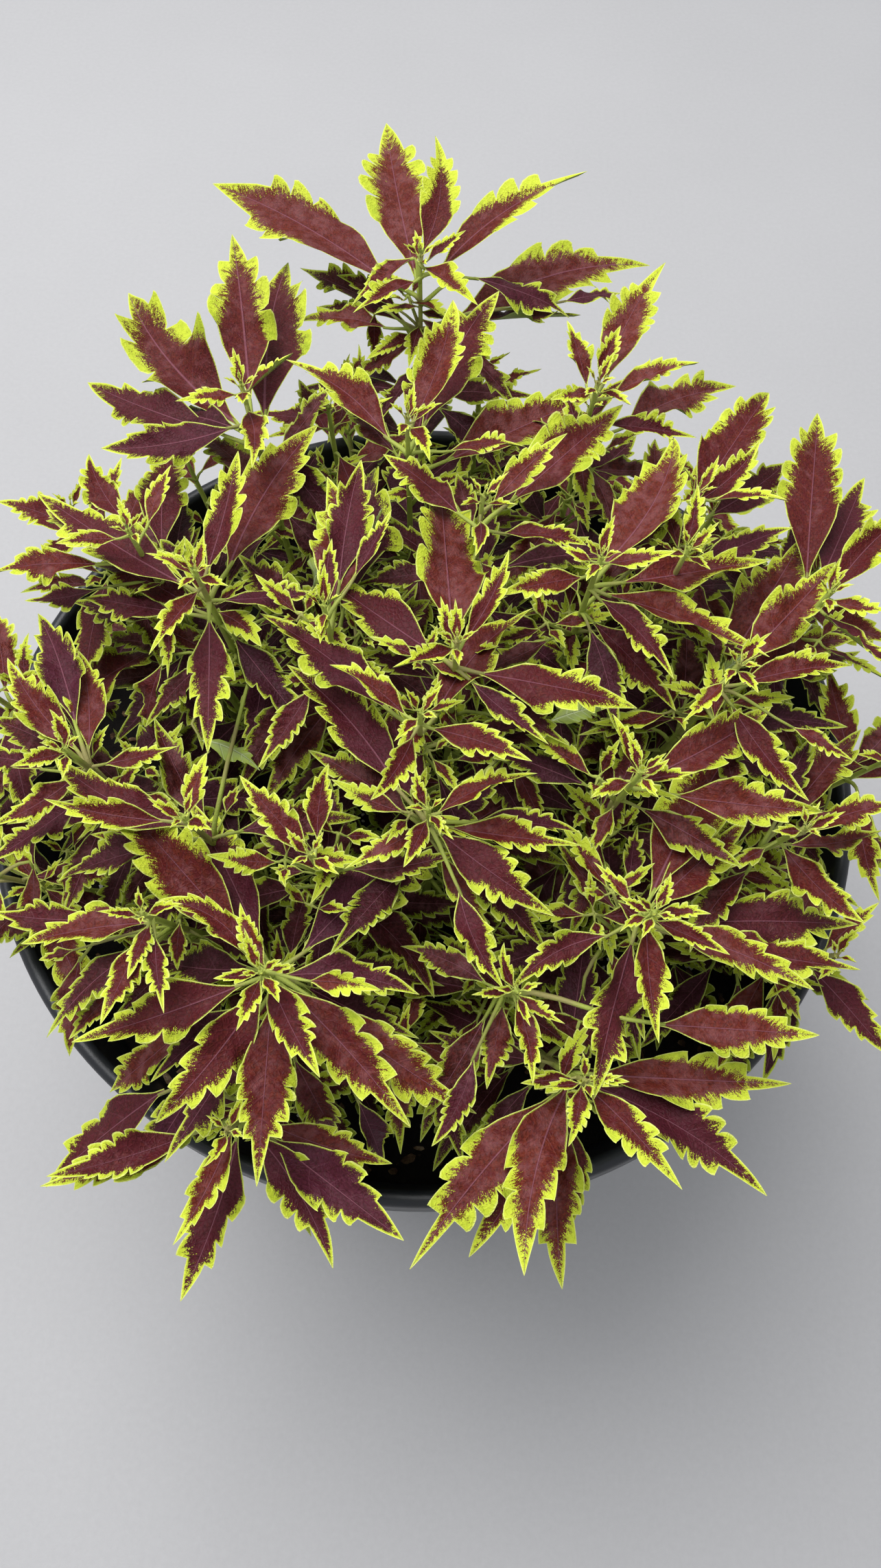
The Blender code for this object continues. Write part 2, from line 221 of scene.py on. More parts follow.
def underPaint(graph):
    colors = leafColors
    phase, across, along = graph.read("blade")
    inset, edge, mid = graph.read("reach")
    _, shade, pitch = graph.read("growth")
    side = veinsOf(phase, pitch)
    speck = graph.noise(graph.join(*graph.read("flat")), 2.2, 3.0, 0.65)
    rib = 1 - (mid / (0.6 - along * 0.40)).between(0.3, 1.0)
    color = graph.blend(colors["sage"], colors["limeDeep"],
                        0.30 + speck.about(0.5) + (1 - edge.between(0.2, 2.2)) * 0.35)
    # painted shade: undersides deep inside are coloured a darker green
    color = graph.blend(color, colors["limeShade"], shade * 0.6)
    color = graph.blend(color, colors["plum"], inset.between(0.02, 0.09) * 0.14)
    color = graph.blend(color, colors["sageVein"], rib.most(side * 0.7 * (1 - across * 0.5)) * 0.8)
    return {"Base Color": color, "Roughness": 0.66,
            "Normal": bumpOf(graph, rib + side * 0.6 + speck * 0.35, 0.0005, 0.8)}


def stalkPaint(graph):
    colors = leafColors
    age, shade, _ = graph.read("growth")
    place = graph.place()
    tint = graph.noise(place, 55.0, 3.0, 0.6)
    hair = graph.noise(place, 1500.0, 2.0, 0.7)
    color = graph.blend(colors["stalk"], colors["stem"], (age * 0.6 + tint.about(0.8)).between(0.1, 1.0))
    color = graph.blend(color, colors["stalkMauve"], (tint - 0.46).between(0.0, 0.2) * 0.55)
    # painted shade: stalks and stems are coloured a darker green by their shade value
    color = graph.blend(color, colors["limeShade"], shade * 0.45)
    return {"Base Color": color, "Roughness": 0.55 + tint.about(0.2),
            "Normal": bumpOf(graph, hair + tint, 0.0004, 0.6)}


def plasticPaint(graph):
    place = graph.place()
    cloud = graph.noise(place, 9.0, 4.0, 0.6)
    grain = graph.noise(place, 900.0, 2.0, 0.6)
    flattened = graph.node("ShaderNodeMapping", None, {"Vector": place, "Scale": (1.0, 1.0, 9.0)})
    scuff = graph.noise(flattened, 26.0, 5.0, 0.72)
    worn = scuff.between(0.56, 0.78)
    height = graph.split(place)[2]
    footDust = (1 - height.between(0.0, 0.05)) * cloud.between(0.35, 0.7) * 0.35
    rimDust = height.between(0.288, 0.2995) * cloud.between(0.45, 0.8) * 0.14
    color = graph.blend(linear(24, 26, 31), linear(46, 49, 57), cloud.between(0.35, 0.75) * 0.5)
    color = graph.blend(color, linear(86, 89, 96), worn * 0.25)
    color = graph.blend(color, linear(112, 108, 102), footDust + rimDust)
    return {"Base Color": color, "Roughness": 0.40 + cloud.about(0.22) + worn * 0.18,
            "Normal": bumpOf(graph, grain + scuff * 0.6, 0.0002, 0.5)}


def soilPaint(graph):
    place = graph.place()
    cloud = graph.noise(place, 40.0, 4.0, 0.65)
    grain = graph.noise(place, 420.0, 5.0, 0.75)
    fiber = graph.noise(place, 150.0, 3.0, 0.6)
    color = graph.blend(linear(14, 12, 11), linear(40, 31, 25), (grain * 0.8 + cloud * 0.5 - 0.35).between(0.1, 0.9))
    color = graph.blend(color, linear(92, 74, 56), (fiber - 0.66).between(0.0, 0.08) * 0.6)
    return {"Base Color": color, "Roughness": 0.92 - cloud * 0.12,
            "Normal": bumpOf(graph, grain + fiber, 0.0016, 0.9)}


def chipPaint(graph):
    place = graph.place()
    tint = graph.noise(place, 60.0, 2.0, 0.5)
    grain = graph.noise(place, 700.0, 3.0, 0.7)
    barks = ((0.30, linear(38, 27, 20)), (0.48, linear(74, 52, 36)),
             (0.58, linear(120, 96, 70)), (0.70, linear(176, 160, 134)))
    color = graph.node("ShaderNodeValToRGB", {"stops": barks}, [tint + grain.about(0.25)]).of("Color")
    return {"Base Color": color, "Roughness": 0.85, "Normal": bumpOf(graph, grain, 0.0006, 0.8)}


def perlitePaint(graph):
    grain = graph.noise(graph.place(), 900.0, 3.0, 0.7)
    return {"Base Color": graph.blend(linear(186, 182, 170), linear(226, 224, 214), grain), "Roughness": 0.8,
            "Normal": bumpOf(graph, grain, 0.0005, 0.8)}


def floorPaint(graph):
    place = graph.place()
    cloud = graph.noise(place, 3.0, 4.0, 0.6)
    grain = graph.noise(place, 260.0, 3.0, 0.7)
    return {"Base Color": graph.blend(linear(186, 185, 186), linear(206, 205, 206), (cloud + grain) * 0.5),
            "Roughness": 0.9, "Normal": bumpOf(graph, grain, 0.0004, 0.4)}


leafUpper = makeMaterial("leafUpper", upperPaint, specular=0.16)
leafUnder = makeMaterial("leafUnder", underPaint, specular=0.3)
leafStalk = makeMaterial("leafStalk", stalkPaint, specular=0.22)
potPlastic = makeMaterial("potPlastic", plasticPaint)
peatSoil = makeMaterial("peatSoil", soilPaint, specular=0.25)
barkChip = makeMaterial("barkChip", chipPaint, specular=0.25)
perliteCrumb = makeMaterial("perliteCrumb", perlitePaint, specular=0.3)
paleFloor = makeMaterial("paleFloor", floorPaint, specular=0.2)
print("finishes made")


# Small helpers for meshes

def newObject(name, mesh):
    thing = bpy.data.objects.new(name, mesh)
    bpy.context.collection.objects.link(thing)
    return thing


def meshOf(name, bm, *materials):
    mesh = bpy.data.meshes.new(name)
    bm.to_mesh(mesh)
    bm.free()
    for material in materials:
        mesh.materials.append(material)
    mesh.shade_smooth()
    return mesh


def bakeDown(thing):  # the evaluated shape as a plain mesh, with no modifier left
    seen = thing.evaluated_get(bpy.context.evaluated_depsgraph_get())
    mesh = bpy.data.meshes.new_from_object(seen)
    thing.modifiers.clear()
    return mesh


def geometryTree(name, sizes):
    tree = bpy.data.node_groups.new(name, "GeometryNodeTree")
    tree.interface.new_socket("Geometry", in_out="INPUT", socket_type="NodeSocketGeometry")
    tree.interface.new_socket("Geometry", in_out="OUTPUT", socket_type="NodeSocketGeometry")
    for label, value in sizes.items():
        kind = "NodeSocketInt" if isinstance(value, int) else "NodeSocketFloat"
        tree.interface.new_socket(label, in_out="INPUT", socket_type=kind).default_value = value
    graph = Graph(tree)
    return graph, graph.node("NodeGroupInput")


def closeTree(graph, shape, material=None):
    shape = graph.node("GeometryNodeRealizeInstances", None, [shape])
    if material:
        shape = graph.node("GeometryNodeSetMaterial", None, {"Geometry": shape, "Material": material})
    graph.node("NodeGroupOutput", None, [shape])
    return graph.tree


def runTree(thing, tree, sizes):
    modifier = thing.modifiers.new(tree.name, "NODES")
    modifier.node_group = tree
    for item in tree.interface.items_tree:
        if item.in_out == "INPUT" and item.name in sizes:
            modifier[item.identifier] = sizes[item.name]
    return bakeDown(thing)


# Pot, sizes in metres as in the CAD

potSize = dict(height=0.300, rim=0.200, base=0.146, wall=0.0030, floor=0.0040, foot=0.0030, lip=0.0070,
               skirt=0.016, step=0.0035, edge=0.0012, sides=192, holes=8, holeRadius=0.0070, holeCircle=0.105,
               holeSides=32, lipSteps=14, ringDepth=0.0006, ringHalf=0.0015, lowRing=0.0135, highRing=0.0185,
               floorRadii=(0.060, 0.120), outerHeights=(0.05, 0.10, 0.15, 0.20, 0.24),
               innerHeights=(0.285, 0.26, 0.20, 0.12, 0.03), sharp=38, rest=0.001, tuck=0.0045, flare=0.0004,
               lap=0.0034, hollow=0.0002, bandLow=0.0040, bandHigh=0.0055)


def outerRadius(height):
    p = potSize
    return p["base"] + (p["rim"] - p["step"] - p["base"]) * height / p["height"]


def innerRadius(height):
    p = potSize
    low = outerRadius(p["floor"]) - p["wall"]
    return low + (p["rim"] - p["lip"] - low) * (height - p["floor"]) / (p["height"] - p["lip"] / 2 - p["floor"])


def circle(radius, sides):
    turns = [tau * k / sides for k in range(sides)]
    return [(radius * cos(a), radius * sin(a)) for a in turns]


def ringOf(bm, radius, height, sides):
    if not radius:
        return [bm.verts.new((0, 0, height))]
    return [bm.verts.new((x, y, height)) for x, y in circle(radius, sides)]


def closeRings(bm, rings, sides):  # a closed solid from one middle point to the other
    for low, high in zip(rings, rings[1:]):
        for k in range(sides):
            after = (k + 1) % sides
            corners = [low[k % len(low)], low[after % len(low)], high[after % len(high)], high[k % len(high)]]
            bm.faces.new(list(dict.fromkeys(corners)))
    bmesh.ops.recalc_face_normals(bm, faces=bm.faces)


def arc(middle, height, radius, start, stop, steps):
    turns = [radians(start + (stop - start) * k / steps) for k in range(steps + 1)]
    return [(middle + radius * cos(a), height + radius * sin(a)) for a in turns]


def stackingRing(height):  # a shallow groove round the wall
    p = potSize
    return [(outerRadius(height + shift) - (0 if shift else p["ringDepth"]), height + shift)
            for shift in (-p["ringHalf"], 0, p["ringHalf"])]


def potOutline():  # radius and height, from the middle of the base round the lip to the middle of the floor
    p = potSize
    skirt = p["height"] - p["skirt"]
    line = [(r, 0) for r in (0, *p["floorRadii"], p["base"] - p["foot"] - p["rest"])]
    line += arc(p["base"] - p["foot"], p["foot"], p["foot"], -90, -8, 6)
    line += stackingRing(p["lowRing"])
    line += [(outerRadius(h), h) for h in p["outerHeights"]]
    line += stackingRing(skirt - p["highRing"])
    line += [(outerRadius(skirt - p["tuck"]), skirt - p["tuck"]), (outerRadius(skirt) + p["flare"], skirt - p["lap"])]
    line += arc(p["rim"] - p["edge"], skirt + p["hollow"], p["edge"], -70, 0, 4)
    line += [(p["rim"] - p["hollow"], height) for height in (skirt + p["bandLow"], p["height"] - p["bandHigh"])]
    line += arc(p["rim"] - p["lip"] / 2, p["height"] - p["lip"] / 2, p["lip"] / 2, 0, 180, p["lipSteps"])
    line += [(innerRadius(h), h) for h in p["innerHeights"]]
    return line + [(r, p["floor"]) for r in (innerRadius(p["floor"]), *p["floorRadii"][::-1], 0)]


def holeCutter():
    p = potSize
    sizes = {"Holes": p["holes"], "Hole Radius": p["holeRadius"], "Circle Radius": p["holeCircle"],
             "Depth": p["floor"] * 4}
    graph, given = geometryTree("drainHoles", sizes)
    circle = graph.node("GeometryNodeMeshCircle", None,
                        {"Vertices": given.of("Holes"), "Radius": given.of("Circle Radius")})
    circle = graph.node("GeometryNodeTransform", None,
                        {"Geometry": circle, "Rotation": (0, 0, pi / p["holes"])})
    drill = graph.node("GeometryNodeMeshCylinder", None,
                       {"Vertices": p["holeSides"], "Radius": given.of("Hole Radius"), "Depth": given.of("Depth")})
    drills = graph.node("GeometryNodeInstanceOnPoints", None, {"Points": circle, "Instance": drill})
    cutter = newObject("drainDrill", bpy.data.meshes.new("drainDrill"))
    cutter.data = runTree(cutter, closeTree(graph, drills, potPlastic), sizes)
    return cutter


def makePot():
    bm = bmesh.new()
    sides = potSize["sides"]
    closeRings(bm, [ringOf(bm, radius, height, sides) for radius, height in potOutline()], sides)
    pot = newObject("nurseryPot", meshOf("nurseryPot", bm, potPlastic))
    cutter = holeCutter()
    cut = pot.modifiers.new("holes", "BOOLEAN")
    cut.object = cutter
    cut.operation = "DIFFERENCE"
    cut.solver = "EXACT"
    pot.data = bakeDown(pot)
    bpy.data.objects.remove(cutter, do_unlink=True)
    pot.data.shade_smooth()
    pot.data.set_sharp_from_angle(angle=radians(potSize["sharp"]))
    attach(pot, "root")
    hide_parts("pot")
    print("pot made:", len(pot.data.polygons), "faces")


# Soil with bark and perlite: noises as weight and scale, slump at the wall as depth, and start and width
# as shares of the radius

soilSize = dict(top=0.248, crown=0.004, gap=0.0005, rings=64, sides=180, lumps=0.0026, seed=11, calm=12,
                noises=((1.0, 34), (0.6, 110), (0.35, 260)), slump=(0.004, 0.93, 0.07), sideHeights=(0.20, 0.10))


def soilHeight(x, y, share, offsets):
    s = soilSize
    lump = sum(weight * noise.noise(Vector((x, y, 0)) * scale + offset)
               for (weight, scale), offset in zip(s["noises"], offsets))
    depth, start, width = s["slump"]
    rise = s["crown"] * (1 - share * share) - depth * max(0.0, share - start) / width
    return s["top"] + rise + s["lumps"] * lump * (0.25 + 0.75 * min(1.0, (1 - share) * s["calm"]))


def makeSoil():
    s = soilSize
    bm = bmesh.new()
    draw = random.Random(s["seed"])
    wall = innerRadius(s["top"]) - s["gap"]
    offsets = [Vector((draw.uniform(-9, 9), draw.uniform(-9, 9), draw.uniform(-9, 9))) for _ in s["noises"]]
    rings = [ringOf(bm, 0, s["top"] + s["crown"], s["sides"])]
    for i in range(1, s["rings"] + 1):
        share = i / s["rings"]
        rings.append([bm.verts.new((x, y, soilHeight(x, y, share, offsets)))
                      for x, y in circle(wall * share, s["sides"])])
    bottom = potSize["floor"] + s["gap"]
    for height in (*s["sideHeights"], bottom):
        rings.append(ringOf(bm, innerRadius(height) - s["gap"], height, s["sides"]))
    rings.append(ringOf(bm, 0, bottom, s["sides"]))
    closeRings(bm, rings, s["sides"])
    soil = newObject("peatSoil", meshOf("peatSoil", bm, peatSoil))
    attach(soil, "root")
    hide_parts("soil")
    for crumbs in crumbSorts:
        scatterCrumbs(soil, **crumbs)
    print("soil made")


# Crumbs on the soil: how many, radius in metres, height against width
crumbSorts = (dict(name="barkChips", material=barkChip, count=900, size=0.0030, flat=0.45, seed=3),
              dict(name="perliteCrumbs", material=perliteCrumb, count=210, size=0.0016, flat=0.8, seed=8))
crumbShape = dict(detail=1, bumps=1.1, depth=1.3, long=(0.45, 1.6), wide=(0.35, 0.9),
                  turns=((-0.5, -0.5, 0.0), (0.5, 0.5, 6.28)), upHeight=170.0)


def scatterCrumbs(soil, name, material, count, size, flat, seed):
    c = crumbShape
    sizes = {"Count": count, "Size": size, "Flatness": flat, "Seed": seed}
    graph, given = geometryTree(name, sizes)
    upward = graph.split(graph.node("GeometryNodeInputNormal"))[2]
    height = graph.split(graph.node("GeometryNodeInputPosition"))[2]
    # only faces that look up and lie high: the slope times the height in mm
    top = graph.node("FunctionNodeCompare", {"data_type": "FLOAT", "operation": "GREATER_THAN"},
                     [upward * 1000 * height, c["upHeight"]])
    area = pi * innerRadius(soilSize["top"]) ** 2
    points = graph.node("GeometryNodeDistributePointsOnFaces", None,
                        {"Mesh": given.of("Geometry"), "Selection": top,
                         "Density": given.of("Count") * (1 / area), "Seed": given.of("Seed")})
    crumb = graph.node("GeometryNodeMeshIcoSphere", None, {"Radius": 1.0, "Subdivisions": c["detail"]})
    bumpy = graph.node("ShaderNodeTexNoise", None, {"Scale": c["bumps"], "Detail": 1.0}).of("Color")
    offset = graph.node("ShaderNodeVectorMath", {"operation": "SUBTRACT"}, [bumpy, (0.5, 0.5, 0.5)])
    offset = graph.node("ShaderNodeVectorMath", {"operation": "SCALE"}, {"Vector": offset, "Scale": c["depth"]})
    crumb = graph.node("GeometryNodeSetPosition", None, {"Geometry": crumb, "Offset": offset})

    def drawn(kind, span, more):  # a random value of its own for each crumb
        first, output = (0, 0) if kind == "FLOAT_VECTOR" else (2, 1)
        ends = {first: span[0], first + 1: span[1], "Seed": given.of("Seed") + more}
        node = graph.node("FunctionNodeRandomValue", {"data_type": kind}, ends).socket.node
        return Signal(graph, node.outputs[output])

    turn = drawn("FLOAT_VECTOR", c["turns"], 1)
    long, wide = drawn("FLOAT", c["long"], 2), drawn("FLOAT", c["wide"], 3)
    scale = graph.join(long * given.of("Size"), wide * given.of("Size"),
                       wide * given.of("Size") * given.of("Flatness"))
    crumbs = graph.node("GeometryNodeInstanceOnPoints", None,
                        {"Points": points, "Instance": crumb, "Rotation": turn, "Scale": scale})
    holder = newObject(name, soil.data.copy())
    holder.data = runTree(holder, closeTree(graph, crumbs, material), sizes)
    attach(holder, "root")


# Where every shoot stands and how it carries its leaves, as in the CAD

# Each shoot: its tip in millimetres, then its leaves, each as a kind and angle/stalk/blade,
# with the compass angle in degrees from +X and both lengths in millimetres.

shoots = {
    "back_tip": ((-8, 182, 428),
        "o100/32/78 y85/15/41 m30/22/59 o145/36/78 m230/6/38 y300/5/49 y30/6/17 d20/42/36 "
        "d30/42/78 d140/19/54 d170/28/28"),
    "back_left": ((-75, 88, 445),
        "o100/30/72 d125/42/78 d90/42/78 y210/5/24 y30/4/20 d150/42/50 o190/18/44 m280/6/35"),
    "back_mid": ((-9, 67, 453),
        "m75/15/48 o70/34/70 o135/24/51 o10/25/22 y290/4/25 y30/6/10 d40/42/63 d85/42/47"),
    "back_right": ((65, 94, 446),
        "m65/27/47 m20/17/29 m105/17/23 y70/9/21 y315/4/15 d35/42/48 o355/15/30 y215/3/22 "
        "d135/27/15"),
    "right_back_outer": ((101, 43, 444),
        "o60/28/59 m45/9/32 d45/42/39 y350/15/20 d90/37/29"),
    "mid_back": ((20, 29, 455),
        "m45/12/34 o50/39/51 o135/22/32 m265/7/16 y345/4/10 o355/18/23 d300/7/10"),
    "right_mid": ((63, 7, 450),
        "o65/23/65 o55/34/45 y0/5/23 y165/5/11 o310/11/36 o340/12/59 o15/25/48 m205/10/31 "
        "d315/12/41 d45/39/33"),
    "right_small": ((96, 16, 445),
        "o30/23/35 y310/3/10 y80/6/22"),
    "right_edge_back": ((153, 11, 427),
        "o80/42/73 o65/42/50 m45/21/38 y50/5/10 y335/4/23 m305/7/42 d80/42/24"),
    "right_pale": ((113, -28, 437),
        "o50/30/52 d60/42/60 o15/17/38 d30/35/42 y295/2/13 o330/37/18 o305/17/36 m230/6/25"),
    "right_edge": ((137, -82, 417),
        "o20/20/34 d50/33/48 o315/4/38 o210/10/12 y55/4/9 d15/24/31"),
    "right_inner": ((76, -72, 437),
        "y115/3/20 y25/2/10 o35/17/54 o355/32/38 m210/2/17 d40/9/27 m5/5/17 d245/3/18"),
    "right_front": ((81, -117, 422),
        "o60/22/70 o45/14/50 y160/2/11 m330/6/25 o340/20/45 m270/5/43 o255/15/49 m0/6/16 d5/42/50 "
        "d350/42/43 y215/5/10 m135/12/14 d80/23/21 o210/23/28"),
    "front_mid": ((35, -144, 417),
        "m280/5/29 m190/2/13 m325/3/18 d260/8/26 d245/35/24"),
    "center": ((12, -31, 451),
        "o95/22/71 y110/3/16 o140/20/49 m65/12/32 y215/2/26 d150/17/28 o350/18/49 o320/16/28"),
    "center_low": ((0, -57, 447),
        "o55/19/52 y60/3/12 m150/12/26 o140/32/49 m335/9/34 m245/11/26 d20/24/25"),
    "center_front": ((4, -89, 439),
        "o105/14/45 m20/6/34 o355/15/39 o5/28/30 o325/9/45 m250/2/21 y305/2/14 o210/4/29 "
        "o130/35/51 d305/15/29 d325/24/25 o295/37/26"),
    "front_left": ((-50, -140, 417),
        "m115/4/22 y10/3/9 y195/4/13 y255/5/19 m300/2/42 o235/12/50 o270/21/49 o315/13/57 "
        "o330/33/53 o355/7/44 y350/23/19 o40/27/58 o120/21/60 o135/33/58 m150/13/32 o200/24/48 "
        "d220/29/30 d240/31/44"),
    "inner_left": ((-35, -104, 433),
        "m135/4/35 m85/15/20 d170/11/10 d315/4/13"),
    "left_front": ((-92, -121, 417),
        "o190/10/41 m260/3/22 m255/16/26 d195/42/10 d230/39/16 d175/42/31 m285/15/22"),
    "left_inner": ((-79, -91, 431),
        "o155/12/49 m175/20/31 y75/3/21 d175/28/20 d75/16/10"),
    "left_edge": ((-125, -64, 426),
        "o105/16/40 o130/20/43 y210/2/19 o20/10/23 o215/11/29 o115/35/41 d215/19/37 d170/36/26"),
    "left_back": ((-83, -1, 446),
        "m80/12/44 o70/35/63 o145/27/65 y165/3/17 y330/2/14 m250/4/35 o10/9/37 o275/15/47 "
        "d150/26/41 d165/30/30"),
    "left_back_edge": ((-111, 20, 441),
        "o120/34/29 m75/18/19 d95/36/50 o145/29/32 o185/30/31 y200/11/17 d185/34/22"),
    "mid_left": ((-35, -18, 451),
        "o85/38/42 o95/25/52 m65/29/22 m90/14/19 d85/42/65 y270/3/15 d240/26/26"),
    "front_droop": ((-61, -186, 386),
        "m250/6/39 o255/14/49 o200/34/40 o200/33/36 o305/14/46 o325/28/45 o345/19/36 d355/22/9"),
    "front_right": ((59, -169, 399),
        "m190/4/17 o230/22/63 o240/10/62 o255/8/63 d270/29/46 d275/29/28 m310/8/42 o330/17/60 "
        "o0/14/65 o10/38/54 y255/3/23 y355/4/12"),
}

# Shoots low round the pot's sides and back: tip in millimetres, turn of the first
# pair of leaves in degrees, and size against a full-grown shoot.
lowShoots = {
    "left_side": ((-180, -15, 386), 20, 1.0),
    "left_side_back": ((-150, 62, 400), 65, 0.9),
    "left_side_front": ((-172, -88, 366), 100, 0.9),
    "back_left_low": ((-118, 128, 356), 35, 0.9),
    "back_low": ((-48, 186, 348), 80, 0.9),
    "back_middle_low": ((22, 176, 372), 10, 0.8),
    "back_right_low": ((74, 160, 362), 50, 0.9),
    "right_back_low": ((128, 112, 368), 115, 0.95),
    "right_side_back": ((168, 58, 376), 70, 0.9),
    "right_side": ((190, -30, 372), 5, 0.95),
    "right_side_front": ((160, -112, 366), 40, 0.85),
    "front_low": ((-4, -150, 360), 70, 0.7),
    "middle_back_low": ((-46, 118, 402), 25, 0.8),
    "middle_right_low": ((120, 72, 396), 95, 0.8),
}
# More leaves that show between those, only as looks: kind, then base and tip in millimetres.
fillLeaves = {
    "back_tip": "g/-8/177/404/-28/165/410 g/-8/176/402/14/163/408 g/-8/174/396/-12/146/398 g/-9/172/392/-32/160/388 "
                "g/-7/172/392/18/158/388 g/-8/175/399/6/148/404 o/-11/185/424/-39/176/404 d/16/185/414/61/181/396 "
                "o/-23/187/392/-61/207/388 d/-9/178/384/-42/166/366 m/-29/179/398/-29/171/376 d/58/189/398/87/207/388",
    "left_front": "d/-130/-117/352/-137/-149/322 m/-99/-122/385/-104/-135/372 o/-84/-115/392/-86/-129/378 "
                  "d/-84/-140/350/-120/-162/318",
    "front_left": "d/-75/-162/362/-99/-191/330 d/-42/-158/372/-27/-180/335 d/-19/-170/360/-10/-187/325",
    "front_droop": "d/-91/-167/352/-138/-199/322",
    "left_side_front": "d/-151/-83/362/-156/-107/330",
    "left_edge": "d/-129/-85/376/-140/-97/352",
    "left_inner": "d/-64/-9/402/-69/-47/385",
    "left_back": "d/-104/-8/392/-113/-26/368 u/-45/21/405/-39/32/425 u/-84/-45/398/-60/-57/398",
    "mid_left": "u/-29/37/400/-16/40/432",
    "right_pale": "u/112/-13/400/124/-7/412",
    "center": "u/48/-34/400/73/-25/398",
    "right_front": "d/62/-130/372/66/-155/340",
    "right_side_front": "m/135/-122/365/150/-132/345",
    "center_front": "d/34/-54/405/47/-71/385",
    "right_inner": "d/75/-56/400/71/-75/375",
    "front_mid": "o/84/-149/398/142/-149/390",
}
redrawn = {("front_right", 10)}      # shoot and angle of a leaf that fillLeaves draws instead
# Degrees that leaves on the far side of these shoots rise more, and how much longer they are
stretched = {"back_tip": (6, 1.12), "back_left": (7, 1.08)}
# Pairs that the photo hides: kind, turn in degrees, stalk and blade in mm
lowPairs = (("m", 0, 8, 30), ("o", 90, 14, 44), ("d", 20, 20, 48))
shadedPairs = (("s", 0, 16, 40), ("b", 80, 22, 44))
shootSize = dict(shadedTurn=137.5, soilTop=0.248, soilCrown=0.004, buried=0.014, lean=0.62, elbow=0.86, knee=0.45,
                 footSide=0.0064, tipSide=0.0034, steps=4, stalkSink=0.35, clearance=0.0005, smallest=0.017,
                 bladeWidth=0.44, widest=0.36, keel=0.0016, fold=0.16, stalkSide=0.0022, fineSteps=16, seed=1000)
# How each kind of leaf is carried and how it has grown. Angles in degrees, arch and curl in degrees over the blade,
# age from 0 in the bud to 1 full grown, shade from 0 in the open to 1 deep inside.
leafKinds = {
    "y": dict(rise=22, drop=0.004, age=0.22, arch=10, curl=8, fold=30, wave=0.06, shade=0.0),
    "m": dict(rise=15, drop=0.010, age=0.58, arch=10, curl=8, fold=26, wave=0.12, shade=0.0),
    "o": dict(rise=-5, drop=0.020, age=0.86, arch=12, curl=10, fold=21, wave=0.17, shade=0.0),
    "d": dict(rise=-15, drop=0.035, age=0.97, arch=14, curl=12, fold=18, wave=0.18, shade=0.10),
    "s": dict(rise=-10, drop=0.062, age=0.97, arch=16, curl=14, fold=16, wave=0.12, shade=0.30),
    "b": dict(rise=-16, drop=0.096, age=1.00, arch=16, curl=14, fold=16, wave=0.12, shade=0.50),
    "g": dict(rise=10, drop=0.050, age=-0.10, arch=14, curl=14, fold=24, wave=0.08, shade=0.20),
    "u": dict(rise=0, drop=0.030, age=0.90, arch=14, curl=12, fold=16, wave=0.16, shade=0.0, roll=168),
}


def toward(way, climb=0.0):  # one long, at an angle from +X round Z and an angle up
    return Vector((cos(way) * cos(climb), sin(way) * cos(climb), sin(climb)))


def stemPath(tip, steps):
    s = shootSize
    foot = Vector((tip.x * s["lean"], tip.y * s["lean"], s["soilTop"] - s["buried"]))
    ground = foot + Vector((0, 0, s["buried"] + s["soilCrown"]))
    elbow = Vector((tip.x * s["elbow"], tip.y * s["elbow"], ground.z + s["knee"] * (tip.z - ground.z)))
    shares = [k / steps for k in range(steps + 1)]
    return [foot] + [ground * (1 - t) ** 2 + elbow * 2 * t * (1 - t) + tip * t * t for t in shares]


def atHeight(path, height):
    for low, high in zip(path, path[1:]):
        if height <= high.z:
            return low.lerp(high, max(0.0, (height - low.z) / (high.z - low.z)))
    return path[-1].copy()


def leafHull(root, base, heading, rise, blade, swell=0.0):  # the plain solid of a leaf, to test the room for it
    s = shootSize
    out = toward(heading)
    side = Vector((-out.y, out.x, 0))
    along = out * cos(rise) + Vector((0, 0, sin(rise)))
    up = side.cross(along) * -1
    half = blade * s["bladeWidth"] / 2 + swell
    middle = base + along * blade * s["widest"]
    fold = up * (half * 2 * s["fold"])
    keel = up * (s["keel"] + 2 * swell)
    stalk = side * (s["stalkSide"] / 2 + swell)
    deep = up * (s["stalkSide"] + 2 * swell)
    points = [root + stalk, root - stalk, root - deep, base + stalk, base - stalk, base - deep,
              middle + side * half + fold, middle - side * half + fold, middle - keel, base + along * (blade + swell)]
    faces = [(0, 1, 2), (0, 3, 4), (0, 4, 1), (1, 4, 5), (1, 5, 2), (2, 5, 3), (2, 3, 0),
             (3, 6, 7), (3, 7, 4), (4, 7, 8), (4, 8, 5), (5, 8, 6), (5, 6, 3), (6, 9, 7), (7, 9, 8), (8, 9, 6)]
    return points, faces


class Room:  # what stands already, so that leaves grow past each other
    shapes, far = 9000, 9.0      # room for this many shapes, and a place beyond them all in metres

    def __init__(self):
        self.lows = np.full((self.shapes, 3), self.far)
        self.highs = np.full((self.shapes, 3), -self.far)
        self.owners, self.trees = [], []

    def near(self, spread):  # the shapes whose boxes meet the box of these points
        return np.nonzero(np.all((self.lows <= spread.max(0)) & (self.highs >= spread.min(0)), axis=1))[0]

    def add(self, owner, points, faces):
        spread = np.array(points)
        self.lows[len(self.trees)], self.highs[len(self.trees)] = spread.min(0), spread.max(0)
        self.owners.append(owner)
        self.trees.append(BVHTree.FromPolygons(spread.tolist(), faces))

    def isFree(self, owner, points, faces):
        met = [k for k in self.near(np.array(points)) if self.owners[k] != owner]
        tree = BVHTree.FromPolygons(points, faces) if met else None
        return not any(tree.overlap(self.trees[k]) for k in met)

    def touches(self, points, faces):  # how many faces of earlier shapes these cross
        met = self.near(points)
        tree = BVHTree.FromPolygons(points.tolist(), faces.tolist()) if len(met) else None
        return sum(len(tree.overlap(self.trees[k])) for k in met)


